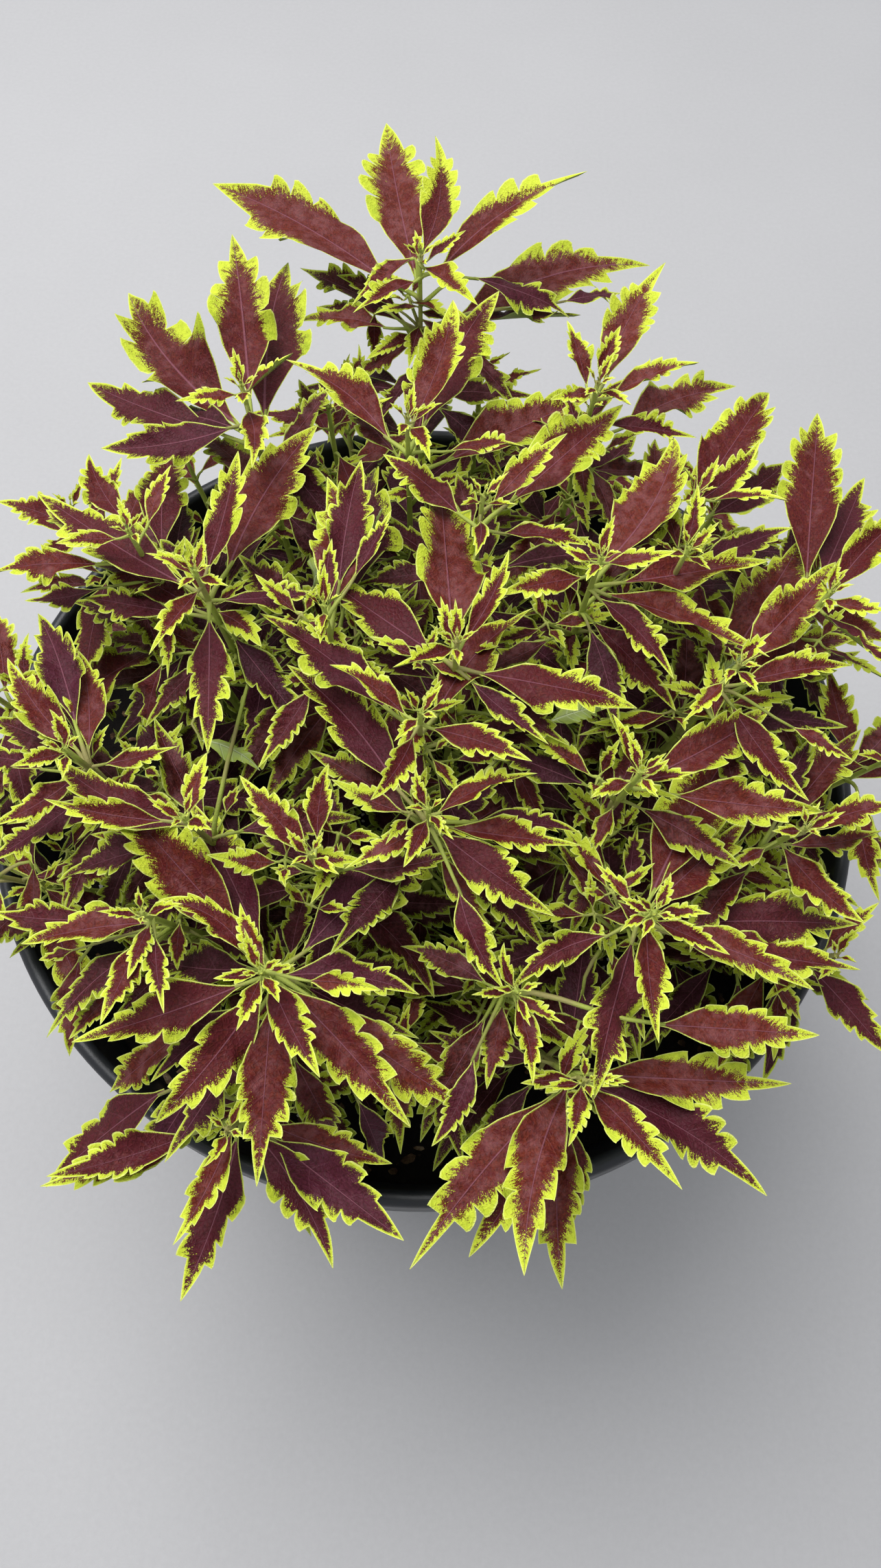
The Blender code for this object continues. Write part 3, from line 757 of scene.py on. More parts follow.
giveWay = [(turn, lift, 1 - short) for short in (0, 0.12, 0.25, 0.4) for turn in (0, 6, -6, 12, -12)
           for lift in (0, 8, -8, 16, -16, 26, -26)]


def findPlace(room, owner, path, drop, rise, heading, stalk, blade, tries=giveWay):
    # root, base, heading, rise and blade of the first free way to carry a leaf
    s = shootSize
    height = path[-1].z - drop
    node = atHeight(path, height - s["stalkSink"] * stalk)
    hub = atHeight(path, height)
    for turn, lift, share in tries:
        way = radians(heading + turn)
        climb = radians(rise + lift)
        base = hub + toward(way) * stalk
        points, faces = leafHull(node, base, way, climb, blade * share, s["clearance"])
        if min(p.z for p in points) < s["soilTop"] + s["soilCrown"] + s["clearance"]:
            continue
        if room.isFree(owner, points, faces):
            room.add(owner, points, faces)
            return node, base, way, climb, blade * share
    return None


# A blade's outline: half widths along it, as shares of its length and of its half width
bladeShape = dict(
    places=(0, 0.05, 0.11, 0.18, 0.25, 0.33, 0.42, 0.52, 0.62, 0.72, 0.82, 0.92, 1),
    widths=(0.05, 0.09, 0.23, 0.47, 0.72, 0.92, 1.0, 0.99, 0.89, 0.71, 0.49, 0.26, 0.012),
    # points of a tooth: place in its pitch, height, vein number, place on the line through the notches
    tooth=((0.0, 0.0, -0.50, 0.0), (0.12, 0.46, -0.34, 0.12), (0.34, 0.84, -0.18, 0.30), (0.66, 1.02, -0.05, 0.48),
           (0.94, 1.03, 0.06, 0.62), (1.09, 0.84, 0.18, 0.76), (1.07, 0.52, 0.34, 0.88)),
    slant=0.95, bow=1.2, crowd=0.94, firstNotch=0.35, tipHalf=0.012, rowGap=0.004,
)
# How finely a blade is meshed, from which length in metres: rows at the base, points of each tooth, rows at the tip
# and columns
bladeDetails = (
    (0.034, dict(base=5, tooth=(0, 1, 2, 3, 4, 5, 6), tip=5, columns=(0.0, 0.42, 0.84, 1.0))),
    (0.022, dict(base=4, tooth=(0, 2, 3, 4, 5), tip=4, columns=(0.0, 0.50, 1.0))),
    (0.013, dict(base=3, tooth=(0, 2, 4, 5), tip=3, columns=(0.0, 0.60, 1.0))),
    (0.000, dict(base=2, tooth=(0, 2, 4), tip=2, columns=(0.0, 0.60, 1.0))),
)
innerDetails = (      # the same for leaves deep inside
    (0.024, dict(base=3, tooth=(0, 2, 4, 5), tip=3, columns=(0.0, 0.55, 1.0))),
    (0.000, dict(base=2, tooth=(0, 2, 4), tip=2, columns=(0.0, 1.0))),
)


def widthAt(x):
    return np.interp(x, bladeShape["places"], bladeShape["widths"])


def edgeLine(draw, form, detail):
    # from base to tip along one side: place, half width, vein number, and the first two again for the line
    # through the notches
    b, teeth, depth = bladeShape, form["teeth"], form["depth"]
    start = form["start"] + draw.uniform(-0.02, 0.02)
    stop = form["stop"] + draw.uniform(-0.025, 0.025)
    marks = [start + (stop - start) * (k / teeth) ** b["crowd"] for k in range(teeth + 1)]
    marks = [m + (draw.uniform(-0.012, 0.012) if 0 < k < teeth else 0) for k, m in enumerate(marks)]
    deep = [depth * draw.uniform(0.7, 1.3) * (0.75 + 0.6 * k / teeth) for k in range(teeth + 1)]
    deep[0] *= b["firstNotch"]
    lows = [float(widthAt(m)) * (1 - d) for m, d in zip(marks, deep)]
    line, rows = [], detail["base"]
    for k in range(rows):
        x = marks[0] * k / rows
        width = float(widthAt(x)) * (1 - deep[0] * (k / rows) ** 2)
        line.append((x, width, -1.7 + 1.2 * k / rows, x, width))
    for k in range(teeth):
        pitch = marks[k + 1] - marks[k]
        tall = float(widthAt(marks[k] + pitch * 0.9)) * draw.uniform(0.98, 1.07)
        reach = draw.uniform(0.92, 1.02)
        for share, lift, vein, inside in (b["tooth"][j] for j in detail["tooth"]):
            share = share if share < 0.5 else share * reach
            line.append((marks[k] + pitch * share, lows[k] + (tall - lows[k]) * lift, k + vein,
                         marks[k] + pitch * inside, lows[k] + (lows[k + 1] - lows[k]) * inside))
    bend = draw.uniform(1.15, 1.7)
    for k in range(detail["tip"] + 1):
        t = (k / detail["tip"]) ** 0.9
        width = lows[-1] * (1 - t ** bend) + b["tipHalf"]
        x = marks[-1] + (1 - marks[-1]) * t
        line.append((x, width, teeth - 0.5 + 1.8 * t, x, width))
    return np.array(line)


def gridFaces(rows, wide):  # quads over a grid, then the same for its underside, sharing the border
    index = np.arange(rows * wide).reshape(rows, wide)
    below = index.copy()
    below[1:-1, 1:-1] = rows * wide + np.arange((rows - 2) * (wide - 2)).reshape(rows - 2, wide - 2)

    def quads(g, flip):
        a, b, c, d = g[:-1, :-1], g[1:, :-1], g[1:, 1:], g[:-1, 1:]
        return np.stack((a, d, c, b) if flip else (a, b, c, d), axis=-1).reshape(-1, 4)
    return quads(index, True), quads(below, False)


formSize = dict(small=0.034, smallSpan=0.024, manyTeeth=0.020, someTeeth=0.010)      # lengths in metres


def leafForm(draw, kind, length, details=bladeDetails):
    k, f = leafKinds[kind], formSize
    small = max(0.0, min(1.0, (f["small"] - length) / f["smallSpan"]))
    counts = (3, 3, 3, 4) if length > f["manyTeeth"] else (2, 3) if length > f["someTeeth"] else None
    return dict(
        details=details, teeth=draw.choice(counts) if counts else 2, depth=draw.uniform(0.30, 0.42),
        start=draw.uniform(0.30, 0.38) - 0.06 * small, stop=draw.uniform(0.72, 0.79),
        width=draw.uniform(0.144, 0.184) * (1 + 0.22 * small),
        age=max(-1.0, min(1.0, k["age"] + draw.uniform(-0.12, 0.12) - 0.3 * small)),
        arch=radians(k["arch"] * draw.uniform(0.0, 1.4)), curl=radians(k["curl"] * draw.uniform(-1.0, 1.2)),
        sway=radians(draw.gauss(0, 9)), roll=radians(draw.gauss(0, 10) + k.get("roll", 0)),
        twist=radians(draw.gauss(0, 16)), fold=radians(k["fold"] * draw.uniform(0.5, 1.4)),
        cup=draw.uniform(-0.05, 0.22), wave=k["wave"] * draw.uniform(0.5, 1.6), ripples=draw.uniform(1.3, 2.4),
        phases=(draw.uniform(0, tau), draw.uniform(0, tau)), quilt=0.0022, shade=k["shade"],
        seed=draw.uniform(0, 90), lopside=draw.uniform(-0.10, 0.10), lobes=draw.uniform(-0.26, 0.12))


def makeBlade(draw, base, heading, rise, length, form):
    # points, upper and under quads, and the marks that the finishes read
    detail = next(d for least, d in form["details"] if length >= least)
    left, right = edgeLine(draw, form, detail), edgeLine(draw, form, detail)
    half = form["width"]
    left[:, (1, 4)] *= half * (1 + form["lopside"])
    right[:, (1, 4)] *= half * (1 - form["lopside"])
    origin = (left[:, 3] + right[:, 3]) / 2 - bladeShape["slant"] * (left[:, 4] + right[:, 4]) / 2
    origin = np.clip(origin, 0.0, None)
    for i in range(1, len(origin)):
        origin[i] = max(origin[i], origin[i - 1] + bladeShape["rowGap"])
    origin *= 1 / origin[-1]
    columns = np.array(detail["columns"])
    wide = 2 * len(columns) - 1
    rows = len(origin)
    across = np.concatenate((-columns[:0:-1], columns))
    x, y, vein, inset = (np.empty((rows, wide)) for _ in range(4))
    for j, v in enumerate(across):
        edge = left if v < 0 else right
        share = abs(v)
        x[:, j] = edge[:, 0] if share == 1 else origin + (edge[:, 3] - origin) * share ** bladeShape["bow"]
        y[:, j] = edge[:, 1] * v if share == 1 else edge[:, 4] * v
        vein[:, j] = (left[:, 2] + right[:, 2]) / 2 if share == 0 else edge[:, 2]
        inset[:, j] = edge[:, 4] - np.abs(y[:, j])
    v = np.broadcast_to(np.abs(across), x.shape)
    outline = np.concatenate((np.stack((left[:, 0], -left[:, 1]), 1), np.stack((right[:, 0], right[:, 1]), 1)[::-1]))
    edgeGap = distanceTo(outline, x, y) * length * 1000
    place, normal = carryBlade(x, y, v, vein, base, heading, rise, length, form)
    thick = (0.00016 + 0.00050 * (1 - v) ** 6) * min(1.0, length / 0.03)
    under = place - normal * thick[..., None]
    points = np.concatenate((place.reshape(-1, 3), under[1:-1, 1:-1].reshape(-1, 3)))
    upper, lower = gridFaces(rows, wide)

    def flat(values):  # for every point of the upper side, then of the underside
        grid = np.broadcast_to(values, x.shape)
        return np.concatenate((grid.reshape(-1), grid[1:-1, 1:-1].reshape(-1)))

    pitch = (form["stop"] - form["start"]) / form["teeth"] * length * 1000
    marks = dict(blade=(vein, v, x), reach=(inset, edgeGap, np.abs(y) * length * 1000),
                 growth=(form["age"], form["shade"], pitch), flat=(x * length * 1000, y * length * 1000, form["seed"]))
    marks = {name: np.stack([flat(part) for part in parts], 1) for name, parts in marks.items()}
    rim = np.zeros(x.shape, bool)
    rim[[0, -1]] = rim[:, [0, -1]] = True
    return points, upper, lower, marks, flat(rim)


def distanceTo(outline, x, y):  # from each point to the nearest place on the outline
    a = outline[:-1]
    d = outline[1:] - a
    p = np.stack((x.reshape(-1), y.reshape(-1)), 1)
    t = np.clip(((p[:, None] - a) * d).sum(2) / np.maximum((d * d).sum(1), 1e-12), 0, 1)
    gap = p[:, None] - (a + t[..., None] * d)
    return np.sqrt((gap * gap).sum(2).min(1)).reshape(x.shape)


spineSteps = 25      # points along the midrib


def carryBlade(x, y, v, vein, base, heading, rise, length, form):
    # bends the flat blade: arched along, folded at the midrib, twisted and waved
    steps = np.linspace(0, 1, spineSteps)
    lift = rise + form["arch"] * (0.5 - steps) * 1.6 - form["curl"] * np.clip(steps - 0.55, 0, 1) ** 1.5 * 3.3
    turn = heading + form["sway"] * (steps - 0.35) * 2
    lead = np.stack((np.cos(lift) * np.cos(turn), np.cos(lift) * np.sin(turn), np.sin(lift)), 1)
    middle = np.zeros((spineSteps, 3))
    middle[1:] = np.cumsum((lead[1:] + lead[:-1]) / 2, 0) / (spineSteps - 1)
    # swung so that the tip is where it should be
    swing = np.array(Vector(middle[-1]).rotation_difference(toward(heading, rise)).to_matrix())
    middle = middle @ swing.T / np.linalg.norm(middle[-1])
    lead = lead @ swing.T
    spread = np.clip(x, 0, 1)

    def read(values):
        return np.stack([np.interp(spread, steps, values[:, k]) for k in range(3)], -1)

    along = read(lead)
    along /= np.linalg.norm(along, axis=-1, keepdims=True)
    side = np.stack((-along[..., 1], along[..., 0], np.zeros(x.shape)), -1)
    side /= np.linalg.norm(side, axis=-1, keepdims=True)
    up = np.cross(along, side)
    angle = (form["roll"] + form["twist"] * (spread - 0.3))[..., None]
    side, up = side * np.cos(angle) + up * np.sin(angle), up * np.cos(angle) - side * np.sin(angle)
    share = np.abs(y) / form["width"]
    grown = np.clip((spread - 0.05) / 0.3, 0, 1)
    ripple = np.where(y < 0, np.sin(tau * form["ripples"] * x + form["phases"][0]),
                      np.sin(tau * form["ripples"] * x + form["phases"][1]))
    z = np.abs(y) * sin(form["fold"]) - form["cup"] * y * y / form["width"]
    z += form["wave"] * form["width"] * share ** 1.5 * ripple * grown * 2.2
    z -= form["quilt"] * np.cos(tau * vein) * np.sin(pi * v) * grown * 1.3
    z += form["lobes"] * form["width"] * share ** 3 * np.cos(tau * vein) * grown
    wide = y * cos(form["fold"])
    place = read(middle) + side * wide[..., None] + up * z[..., None]
    return np.array(base) + place * length, up


def makeTube(points, radii, sides):
    points = np.array(points)
    lead = np.gradient(points, axis=0)
    lead /= np.linalg.norm(lead, axis=1, keepdims=True)
    aside = np.cross(lead, (0.31, 0.22, 0.92))
    aside /= np.linalg.norm(aside, axis=1, keepdims=True)
    other = np.cross(lead, aside)
    turns = np.arange(sides) * tau / sides
    ring = aside[:, None] * np.cos(turns)[None, :, None] + other[:, None] * np.sin(turns)[None, :, None]
    body = (points[:, None] + ring * np.array(radii)[:, None, None]).reshape(-1, 3)
    count = len(points)
    index = np.arange(count * sides).reshape(count, sides)
    after = np.roll(index, -1, axis=1)
    quads = np.stack((index[:-1], after[:-1], after[1:], index[1:]), -1).reshape(-1, 4)
    ends = np.concatenate((body, points[:1], points[-1:]))
    low, high = count * sides, count * sides + 1
    caps = [(low, after[0, k], index[0, k]) for k in range(sides)]
    caps += [(high, index[-1, k], after[-1, k]) for k in range(sides)]
    return ends, quads, np.array(caps)


def bezier(a, b, c, d, steps):
    t = np.linspace(0, 1, steps)[:, None]
    return (1 - t) ** 3 * a + 3 * t * (1 - t) ** 2 * b + 3 * t * t * (1 - t) * c + t ** 3 * d


class Growth:  # gathers the parts of one shoot into one mesh
    def __init__(self):
        self.points, self.corners, self.sizes, self.slots, self.rims = [], [], [], [], []
        self.marks = {"blade": [], "reach": [], "growth": [], "flat": []}
        self.count = 0

    def add(self, points, faceSets, marks=None, rim=None, tint=(1.0, 0.0, 1.0)):
        for faces, slot in faceSets:
            self.corners.append(faces.reshape(-1) + self.count)
            self.sizes.append(np.full(len(faces), faces.shape[1]))
            self.slots.append(np.full(len(faces), slot))
        for name, held in self.marks.items():
            plain = tint if name == "growth" else (0.0, 0.0, 0.0)
            held.append(marks[name] if marks else np.broadcast_to(plain, (len(points), 3)))
        self.points.append(points)
        self.rims.append(np.zeros(len(points), bool) if rim is None else rim)
        self.count += len(points)

    def mesh(self, name):
        mesh = bpy.data.meshes.new(name)
        points, corners, sizes = (np.concatenate(parts) for parts in (self.points, self.corners, self.sizes))
        mesh.vertices.add(len(points))
        mesh.vertices.foreach_set("co", points.astype(np.float32).reshape(-1))
        mesh.loops.add(len(corners))
        mesh.loops.foreach_set("vertex_index", corners.astype(np.int32))
        mesh.polygons.add(len(sizes))
        mesh.polygons.foreach_set("loop_start", np.concatenate(([0], np.cumsum(sizes)[:-1])).astype(np.int32))
        for material in (leafUpper, leafUnder, leafStalk):
            mesh.materials.append(material)
        mesh.polygons.foreach_set("material_index", np.concatenate(self.slots).astype(np.int32))
        for key, held in self.marks.items():
            attribute = mesh.attributes.new(key, "FLOAT_VECTOR", "POINT")
            attribute.data.foreach_set("vector", np.concatenate(held).astype(np.float32).reshape(-1))
        mesh.update(calc_edges=True)
        rim = np.concatenate(self.rims)
        ends = np.empty(len(mesh.edges) * 2, np.int32)
        mesh.edges.foreach_get("vertices", ends)
        ends = ends.reshape(-1, 2)
        sharp = mesh.attributes.new("sharp_edge", "BOOLEAN", "EDGE")
        sharp.data.foreach_set("value", rim[ends[:, 0]] & rim[ends[:, 1]])
        mesh.validate()
        return mesh


blades = Room()      # the outer parts of all blades so far, so that none cuts through another
# Degrees that a blade may tilt to miss others, what each costs against a crossing, the share of the blade at
# its base that isn't tested, and the cost over which an inner leaf is left out
nudges = dict(outer=(0, 3, -3, 6, -6, 9, -9, 13, -13, 17, -17), inner=(0, 7, -7), cost=0.35, base=0.20, most=4)
# Stalks: the shortest and the thickest in metres, bends as shares of the reach, and how far a blade may run
# back along its stalk, as shares of the stalk and of the blade
stalkSize = dict(least=0.0012, thick=0.0010, foot=0.0004, growth=0.011, swell=1.25, taper=0.72, leave=0.35,
                 arrive=0.4, overlap=0.05, upOut=0.7, hidden=0.55, longer=0.40, fillSink=0.008)


def clearBlade(draw, base, heading, rise, length, form, inner):
    # the blade, its tested faces and its cost, with the tilt that crosses earlier blades least
    state, least = draw.getstate(), inf
    for nudge in nudges["inner" if inner else "outer"]:
        draw.setstate(state)
        tried = makeBlade(draw, base, heading, rise + radians(nudge), length, form)
        tested = tried[1][(tried[3]["blade"][tried[1], 2] > nudges["base"]).all(1)]
        crossed = blades.touches(tried[0], tested)
        cost = crossed + nudges["cost"] * abs(nudge)
        if cost < least:
            least, best, kept = cost, tried, tested
        if not crossed:
            break
    return best, kept, least


def addLeaf(growth, draw, kind, root, base, heading, rise, length, shade=None, details=bladeDetails):
    n, inner = stalkSize, details is not bladeDetails
    form = leafForm(draw, kind, length, details)
    if shade is not None:
        form["shade"] = shade
    (points, upper, lower, marks, rim), kept, cost = clearBlade(draw, base, heading, rise, length, form, inner)
    if inner and cost > nudges["most"]:
        return
    blades.add(growth, points, kept.tolist())
    growth.add(points, ((upper, 0), (lower, 1)), marks, rim)
    root, base = np.array(root), np.array(base)
    reach = np.linalg.norm(base - root)
    if reach < n["least"]:
        return
    first = rise + form["arch"] * 0.4
    lead = np.array((cos(first) * cos(heading), cos(first) * sin(heading), sin(first)))
    slope = n["upOut"]
    leave = np.array((cos(heading) * slope, sin(heading) * slope, slope)) * reach * n["leave"]
    steps, sides = (4, 4) if inner else (6, 5)
    line = bezier(root, root + leave, base - lead * reach * n["arrive"], base + lead * length * n["overlap"], steps)
    radius = min(n["thick"], n["foot"] + length * n["growth"])
    tube, quads, caps = makeTube(line, np.linspace(radius * n["swell"], radius * n["taper"], steps), sides)
    growth.add(tube, ((quads, 2), (caps, 2)), tint=(form["age"], form["shade"], 1.0))


def readLeaves(text):
    leaves = []
    for word in text.split():
        heading, stalk, blade = word[1:].split("/")
        leaves.append((word[0], float(heading), float(stalk) / 1000, float(blade) / 1000))
    return leaves


def pairsOf(rows, turn, size):
    return [(kind, turn + angle + half, stalk * size / 1000, blade * size / 1000)
            for kind, angle, stalk, blade in rows for half in (0, 180)]


def allShoots():
    grown = [(name, Vector(tip) / 1000, readLeaves(text)) for name, (tip, text) in shoots.items()]
    grown += [(name, Vector(tip) / 1000, pairsOf(lowPairs, turn, size))
              for name, (tip, turn, size) in lowShoots.items()]
    for k, (_, _, leaves) in enumerate(grown):
        leaves += pairsOf(shadedPairs, shootSize["shadedTurn"] * k, 1.0)
    return grown


# Stems: square with rounded corners like every coleus stem, tapering toward the tip

# shade is the painted shade of the stems, which stand inside the canopy
stemSize = dict(corner=0.28, foot=0.0054, tip=0.0017, taper=0.6, age=0.8, shade=0.35)


def stemTree():
    sizes = {"Side": 1.0, "Corner": stemSize["corner"]}
    graph, given = geometryTree("squareStem", sizes)
    square = graph.node("GeometryNodeCurvePrimitiveQuadrilateral", None,
                        {"Width": given.of("Side"), "Height": given.of("Side")})
    square = graph.node("GeometryNodeFilletCurve", {"mode": "POLY"},
                        {"Curve": square, "Count": 2, "Radius": given.of("Corner")})
    body = graph.node("GeometryNodeCurveToMesh", None,
                      {"Curve": given.of("Geometry"), "Profile Curve": square,
                       "Scale": graph.node("GeometryNodeInputRadius"), "Fill Caps": True})
    return closeTree(graph, body, leafStalk), sizes


def makeStems(growth, lines, tree, sizes):  # lines holds (points, side of the square at each, age, shade)
    for points, sides, age, shade in lines:
        curve = bpy.data.curves.new("stemLine", "CURVE")
        curve.dimensions = "3D"
        spline = curve.splines.new("POLY")
        spline.points.add(len(points) - 1)
        spline.points.foreach_set("co", np.concatenate((np.array(points), np.ones((len(points), 1))), 1).reshape(-1))
        spline.points.foreach_set("radius", np.array(sides, float))
        holder = newObject("stemLine", curve)
        mesh = runTree(holder, tree, sizes)
        bpy.data.objects.remove(holder, do_unlink=True)
        spread = np.empty(len(mesh.vertices) * 3, np.float32)
        mesh.vertices.foreach_get("co", spread)
        sets = {}
        for face in mesh.polygons:
            sets.setdefault(len(face.vertices), []).append(tuple(face.vertices))
        growth.add(spread.reshape(-1, 3), [(np.array(faces), 2) for faces in sets.values()], tint=(age, shade, 1.0))


# Smaller growth that the stems carry between the rosettes, lengths in metres

innerSize = dict(firstDrop=0.030, pitch=0.0145, clear=0.016, deepest=0.15, leafLength=(0.036, 0.056),
                 stalk=(0.006, 0.014), sprigDrop=0.004, sprigLength=(0.008, 0.020), sprigLeaf=(0.018, 0.032),
                 sprigShare=0.38, sprigSides=(0.0016, 0.0011), pairOut=0.0025, pairDown=0.002, seed=71)
shortWay = [(turn, lift, share) for share in (1, 0.75, 0.55) for turn in (0, 14, -14) for lift in (0, 14, -18)]
# The youngest pairs, folded up round the growing point: turn, length, rise and how far under the tip
budPairs = ((0, 0.0045, 64, 0.0), (90, 0.0085, 46, 0.0015), (0, 0.0140, 30, 0.0040))
budOut = 0.0012


def addInner(growth, room, name, path, draw, first):
    s = innerSize
    tip, lines = path[-1], []
    drop, turn = s["firstDrop"] + draw.uniform(-0.003, 0.003), first
    while tip.z - drop > shootSize["soilTop"] + s["clear"]:
        deep = min(1.0, drop / s["deepest"])
        for half in (0, 180):
            heading = turn + half + draw.uniform(-12, 12)
            length = draw.uniform(*s["leafLength"]) * (1 - 0.25 * deep)
            spot = findPlace(room, name, path, drop, draw.uniform(-26, 4), heading, draw.uniform(*s["stalk"]),
                             length, shortWay)
            if spot:
                addLeaf(growth, draw, "d", *spot, 0.25 + 0.6 * deep, innerDetails)
            if draw.random() < s["sprigShare"]:
                way = heading + draw.uniform(-25, 25)
                lines.append(addSprig(growth, room, name, path, drop + s["sprigDrop"], way, draw, deep))
        drop += s["pitch"] * draw.uniform(0.85, 1.2)
        turn += 90
    return lines


def addSprig(growth, room, name, path, drop, heading, draw, deep):
    # a side shoot with two pairs of leaves; returns its stem as makeStems takes it
    s = innerSize
    root = atHeight(path, path[-1].z - drop)
    reach = draw.uniform(*s["sprigLength"])
    way, climb = radians(heading), radians(draw.uniform(28, 60))
    lead = toward(way, climb)
    top = root + lead * reach + Vector((0, 0, reach * 0.2))
    bends = (root, root + lead * reach * 0.4, top - lead * reach * 0.3, top)
    line = bezier(*(np.array(at) for at in bends), 3), np.linspace(*s["sprigSides"], 3), 0.3, 0.3 + 0.5 * deep
    size = draw.uniform(*s["sprigLeaf"]) * (1 - 0.2 * deep)
    for pair, share, rise in ((0, 1.0, 5), (90, 0.55, 38)):
        for half in (0, 180):
            turn = radians(heading + pair + half + draw.uniform(-10, 10))
            base = top + toward(turn) * s["pairOut"] - Vector((0, 0, s["pairDown"] * share))
            climb = radians(rise + draw.uniform(-14, 14))
            hull = leafHull(top - Vector((0, 0, 0.001)), base, turn, climb, size * share)
            if room.isFree(name, *hull):
                room.add(name, *hull)
                addLeaf(growth, draw, "g", top, base, turn, climb, size * share, 0.10 + 0.6 * deep, innerDetails)
    return line


def addBud(growth, draw, tip, heading):
    for turn, length, rise, sink in budPairs:
        for half in (0, 180):
            way = radians(heading + turn + half + draw.uniform(-9, 9))
            base = tip + toward(way) * budOut + Vector((0, 0, budOut - sink))
            climb = radians(rise + draw.uniform(-8, 8))
            addLeaf(growth, draw, "y", tip - Vector((0, 0, sink + 0.001)), base, way, climb,
                    length * draw.uniform(0.85, 1.2))


def reachIn(hub, base, way, climb, blade):
    # a blade that starts nearer its stem and keeps its tip
    out = toward(way)
    stalk = (base - hub).dot(out)
    start = base - out * min(stalkSize["hidden"] * stalk, stalkSize["longer"] * blade)
    span = base + (out * cos(climb) + Vector((0, 0, sin(climb)))) * blade - start
    return start, asin(span.z / span.length), span.length


def stemHull(path):  # the plain square solid of a stem
    s = shootSize
    points, faces = [], []
    for k, at in enumerate(path):
        half = (s["footSide"] + (s["tipSide"] - s["footSide"]) * max(0, k - 1) / (len(path) - 2)) / 2
        points += [at + Vector((x * half, y * half, 0)) for x, y in ((-1, -1), (1, -1), (1, 1), (-1, 1))]
        if k:
            faces += [(4 * k - 4 + j, 4 * k - 4 + (j + 1) % 4, 4 * k + (j + 1) % 4, 4 * k + j) for j in range(4)]
    return points, faces


def placeLeaves(room, clear, name, path, leaves):
    # kind, root, base, heading, rise and blade of each leaf: as drawn where it is in view, else where there is room
    s, spots = shootSize, []
    for kind, heading, stalk, blade in leaves:
        k = leafKinds[kind]
        spot = None
        if blade >= s["smallest"]:
            spot = findPlace(room, name, path, k["drop"], k["rise"], heading, stalk, blade)
        if name in shoots and kind not in "sb":
            hub = atHeight(path, path[-1].z - k["drop"])
            way, climb = radians(heading), radians(k["rise"])
            base = hub + toward(way) * stalk
            if clear.isFree(name, *leafHull(hub, base, way, climb, blade)):
                spot = hub, base, way, climb, blade
        if spot and (name, heading) not in redrawn:
            spots.append((kind, *spot))
    return spots


def growShoot(growth, draw, room, name, path, spots, first, seed):
    lift, share = stretched.get(name, (0, 1))
    for kind, node, base, way, climb, blade in sorted(spots, key=lambda spot: -spot[5]):
        if sin(way) > 0:
            climb, blade = climb + radians(lift), blade * share
        base, climb, blade = reachIn(atHeight(path, base.z), base, way, climb, blade)
        addLeaf(growth, draw, kind, node, base, way, climb, blade)
    for word in fillLeaves.get(name, "").split():
        kind, *numbers = word.split("/")
        base, tip = (Vector([float(n) / 1000 for n in numbers[i:i + 3]]) for i in (0, 3))
        span = tip - base
        addLeaf(growth, draw, kind, atHeight(path, base.z - stalkSize["fillSink"]), base,
                atan2(span.y, span.x), asin(span.z / span.length), span.length)
    addBud(growth, draw, path[-1], first)
    lines = addInner(growth, room, name, path, random.Random(seed), first + 45)
    stem = stemPath(path[-1], shootSize["fineSteps"])
    m = stemSize
    sides = m["foot"] + (m["tip"] - m["foot"]) * np.linspace(0, 1, len(stem)) ** m["taper"]
    return [(np.array([tuple(at) for at in stem]), sides, m["age"], m["shade"])] + lines


def makeFoliage():
    room, clear = Room(), Room()      # clear holds only the pot
    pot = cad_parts["pot"].data
    for space in (room, clear):
        space.add("pot", [v.co.copy() for v in pot.vertices], [tuple(f.vertices) for f in pot.polygons])
    grown = [(name, stemPath(tip, shootSize["steps"]), leaves) for name, tip, leaves in allShoots()]
    for name, path, _ in grown:
        room.add(name, *stemHull(path))
    spots = [placeLeaves(room, clear, *shoot) for shoot in grown]
    print("leaves placed:", sum(map(len, spots)))
    tree, sizes = stemTree()
    growths = {}
    for number, (name, path, leaves) in enumerate(grown):
        draw, growth = random.Random(shootSize["seed"] + number), Growth()
        lines = growShoot(growth, draw, room, name, path, spots[number], leaves[0][1], innerSize["seed"] + number)
        makeStems(growth, lines, tree, sizes)
        growths[name] = growth
    for name, growth in growths.items():
        label = "foliage_" + name
        thing = newObject(label, growth.mesh(label))
        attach(thing, "root")
        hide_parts("shoot_" + name)
    total = sum(int((np.array(size) - 2).sum()) for growth in growths.values() for size in growth.sizes)
    print("foliage made:", total, "triangles")


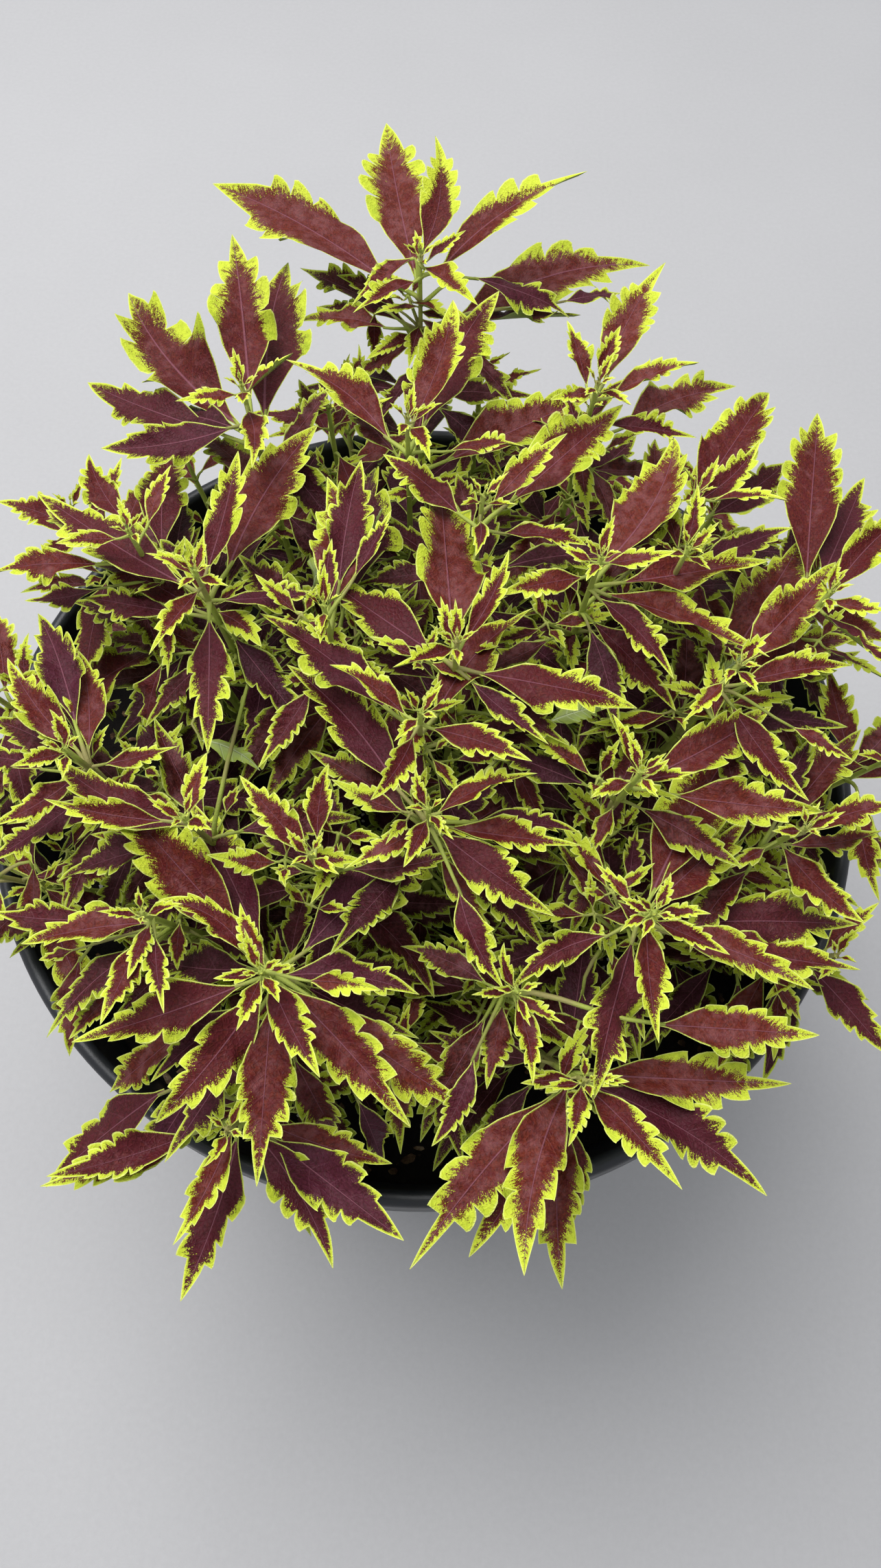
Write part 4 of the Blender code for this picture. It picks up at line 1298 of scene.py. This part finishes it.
makePot()
makeSoil()
makeFoliage()


# Floor, light and camera

stageSize = dict(floor=12.0, sky=0.54, skyColor=(0.93, 0.96, 1.0, 1), lamp=46.0, lampSize=1.6,
                 lampPlace=(-0.6, 0.5, 2.3), lampAim=(0, 0, 0.3))
# where the photo was taken from: metres and degrees, focal length and height in pixels, film height in mm
cameraView = dict(place=(0.0077147, -0.2543121, 0.8026225), pitch=64.388, roll=1.681, focal=1750.0, high=2284,
                  film=36.0, near=0.01, far=20)


def makeStage():
    s = stageSize
    bm = bmesh.new()
    bmesh.ops.create_grid(bm, x_segments=1, y_segments=1, size=s["floor"] / 2)
    floor = newObject("studioFloor", meshOf("studioFloor", bm, paleFloor))
    world = bpy.data.worlds.new("softSky")
    bpy.context.scene.world = world
    world.use_nodes = True
    sky = world.node_tree.nodes["Background"]
    sky.inputs["Color"].default_value = s["skyColor"]
    sky.inputs["Strength"].default_value = s["sky"]
    lamp = bpy.data.lights.new("softLamp", "AREA")
    lamp.energy, lamp.size = s["lamp"], s["lampSize"]
    light = newObject("softLamp", lamp)
    light.location = s["lampPlace"]
    light.rotation_euler = (Vector(s["lampAim"]) - light.location).to_track_quat("-Z", "Y").to_euler()
    bpy.context.scene.view_settings.view_transform = "Standard"


def makeCamera():
    c = cameraView
    pitch, roll = radians(c["pitch"]), radians(c["roll"])
    ahead = Vector((0, cos(pitch), -sin(pitch)))
    right = Vector((1, 0, 0))
    up = right.cross(ahead)
    right, up = right * cos(roll) + up * sin(roll), up * cos(roll) - right * sin(roll)
    lens = bpy.data.cameras.new("photoCamera")
    lens.sensor_fit = "VERTICAL"
    lens.sensor_height = c["film"]
    lens.lens = c["film"] * c["focal"] / c["high"]
    lens.clip_start, lens.clip_end = c["near"], c["far"]

    camera = newObject("photoCamera", lens)
    turn = Matrix((right, up, -ahead)).transposed().to_4x4()
    camera.matrix_world = Matrix.Translation(c["place"]) @ turn
    bpy.context.scene.camera = camera


makeStage()
makeCamera()
print("stage and camera set")
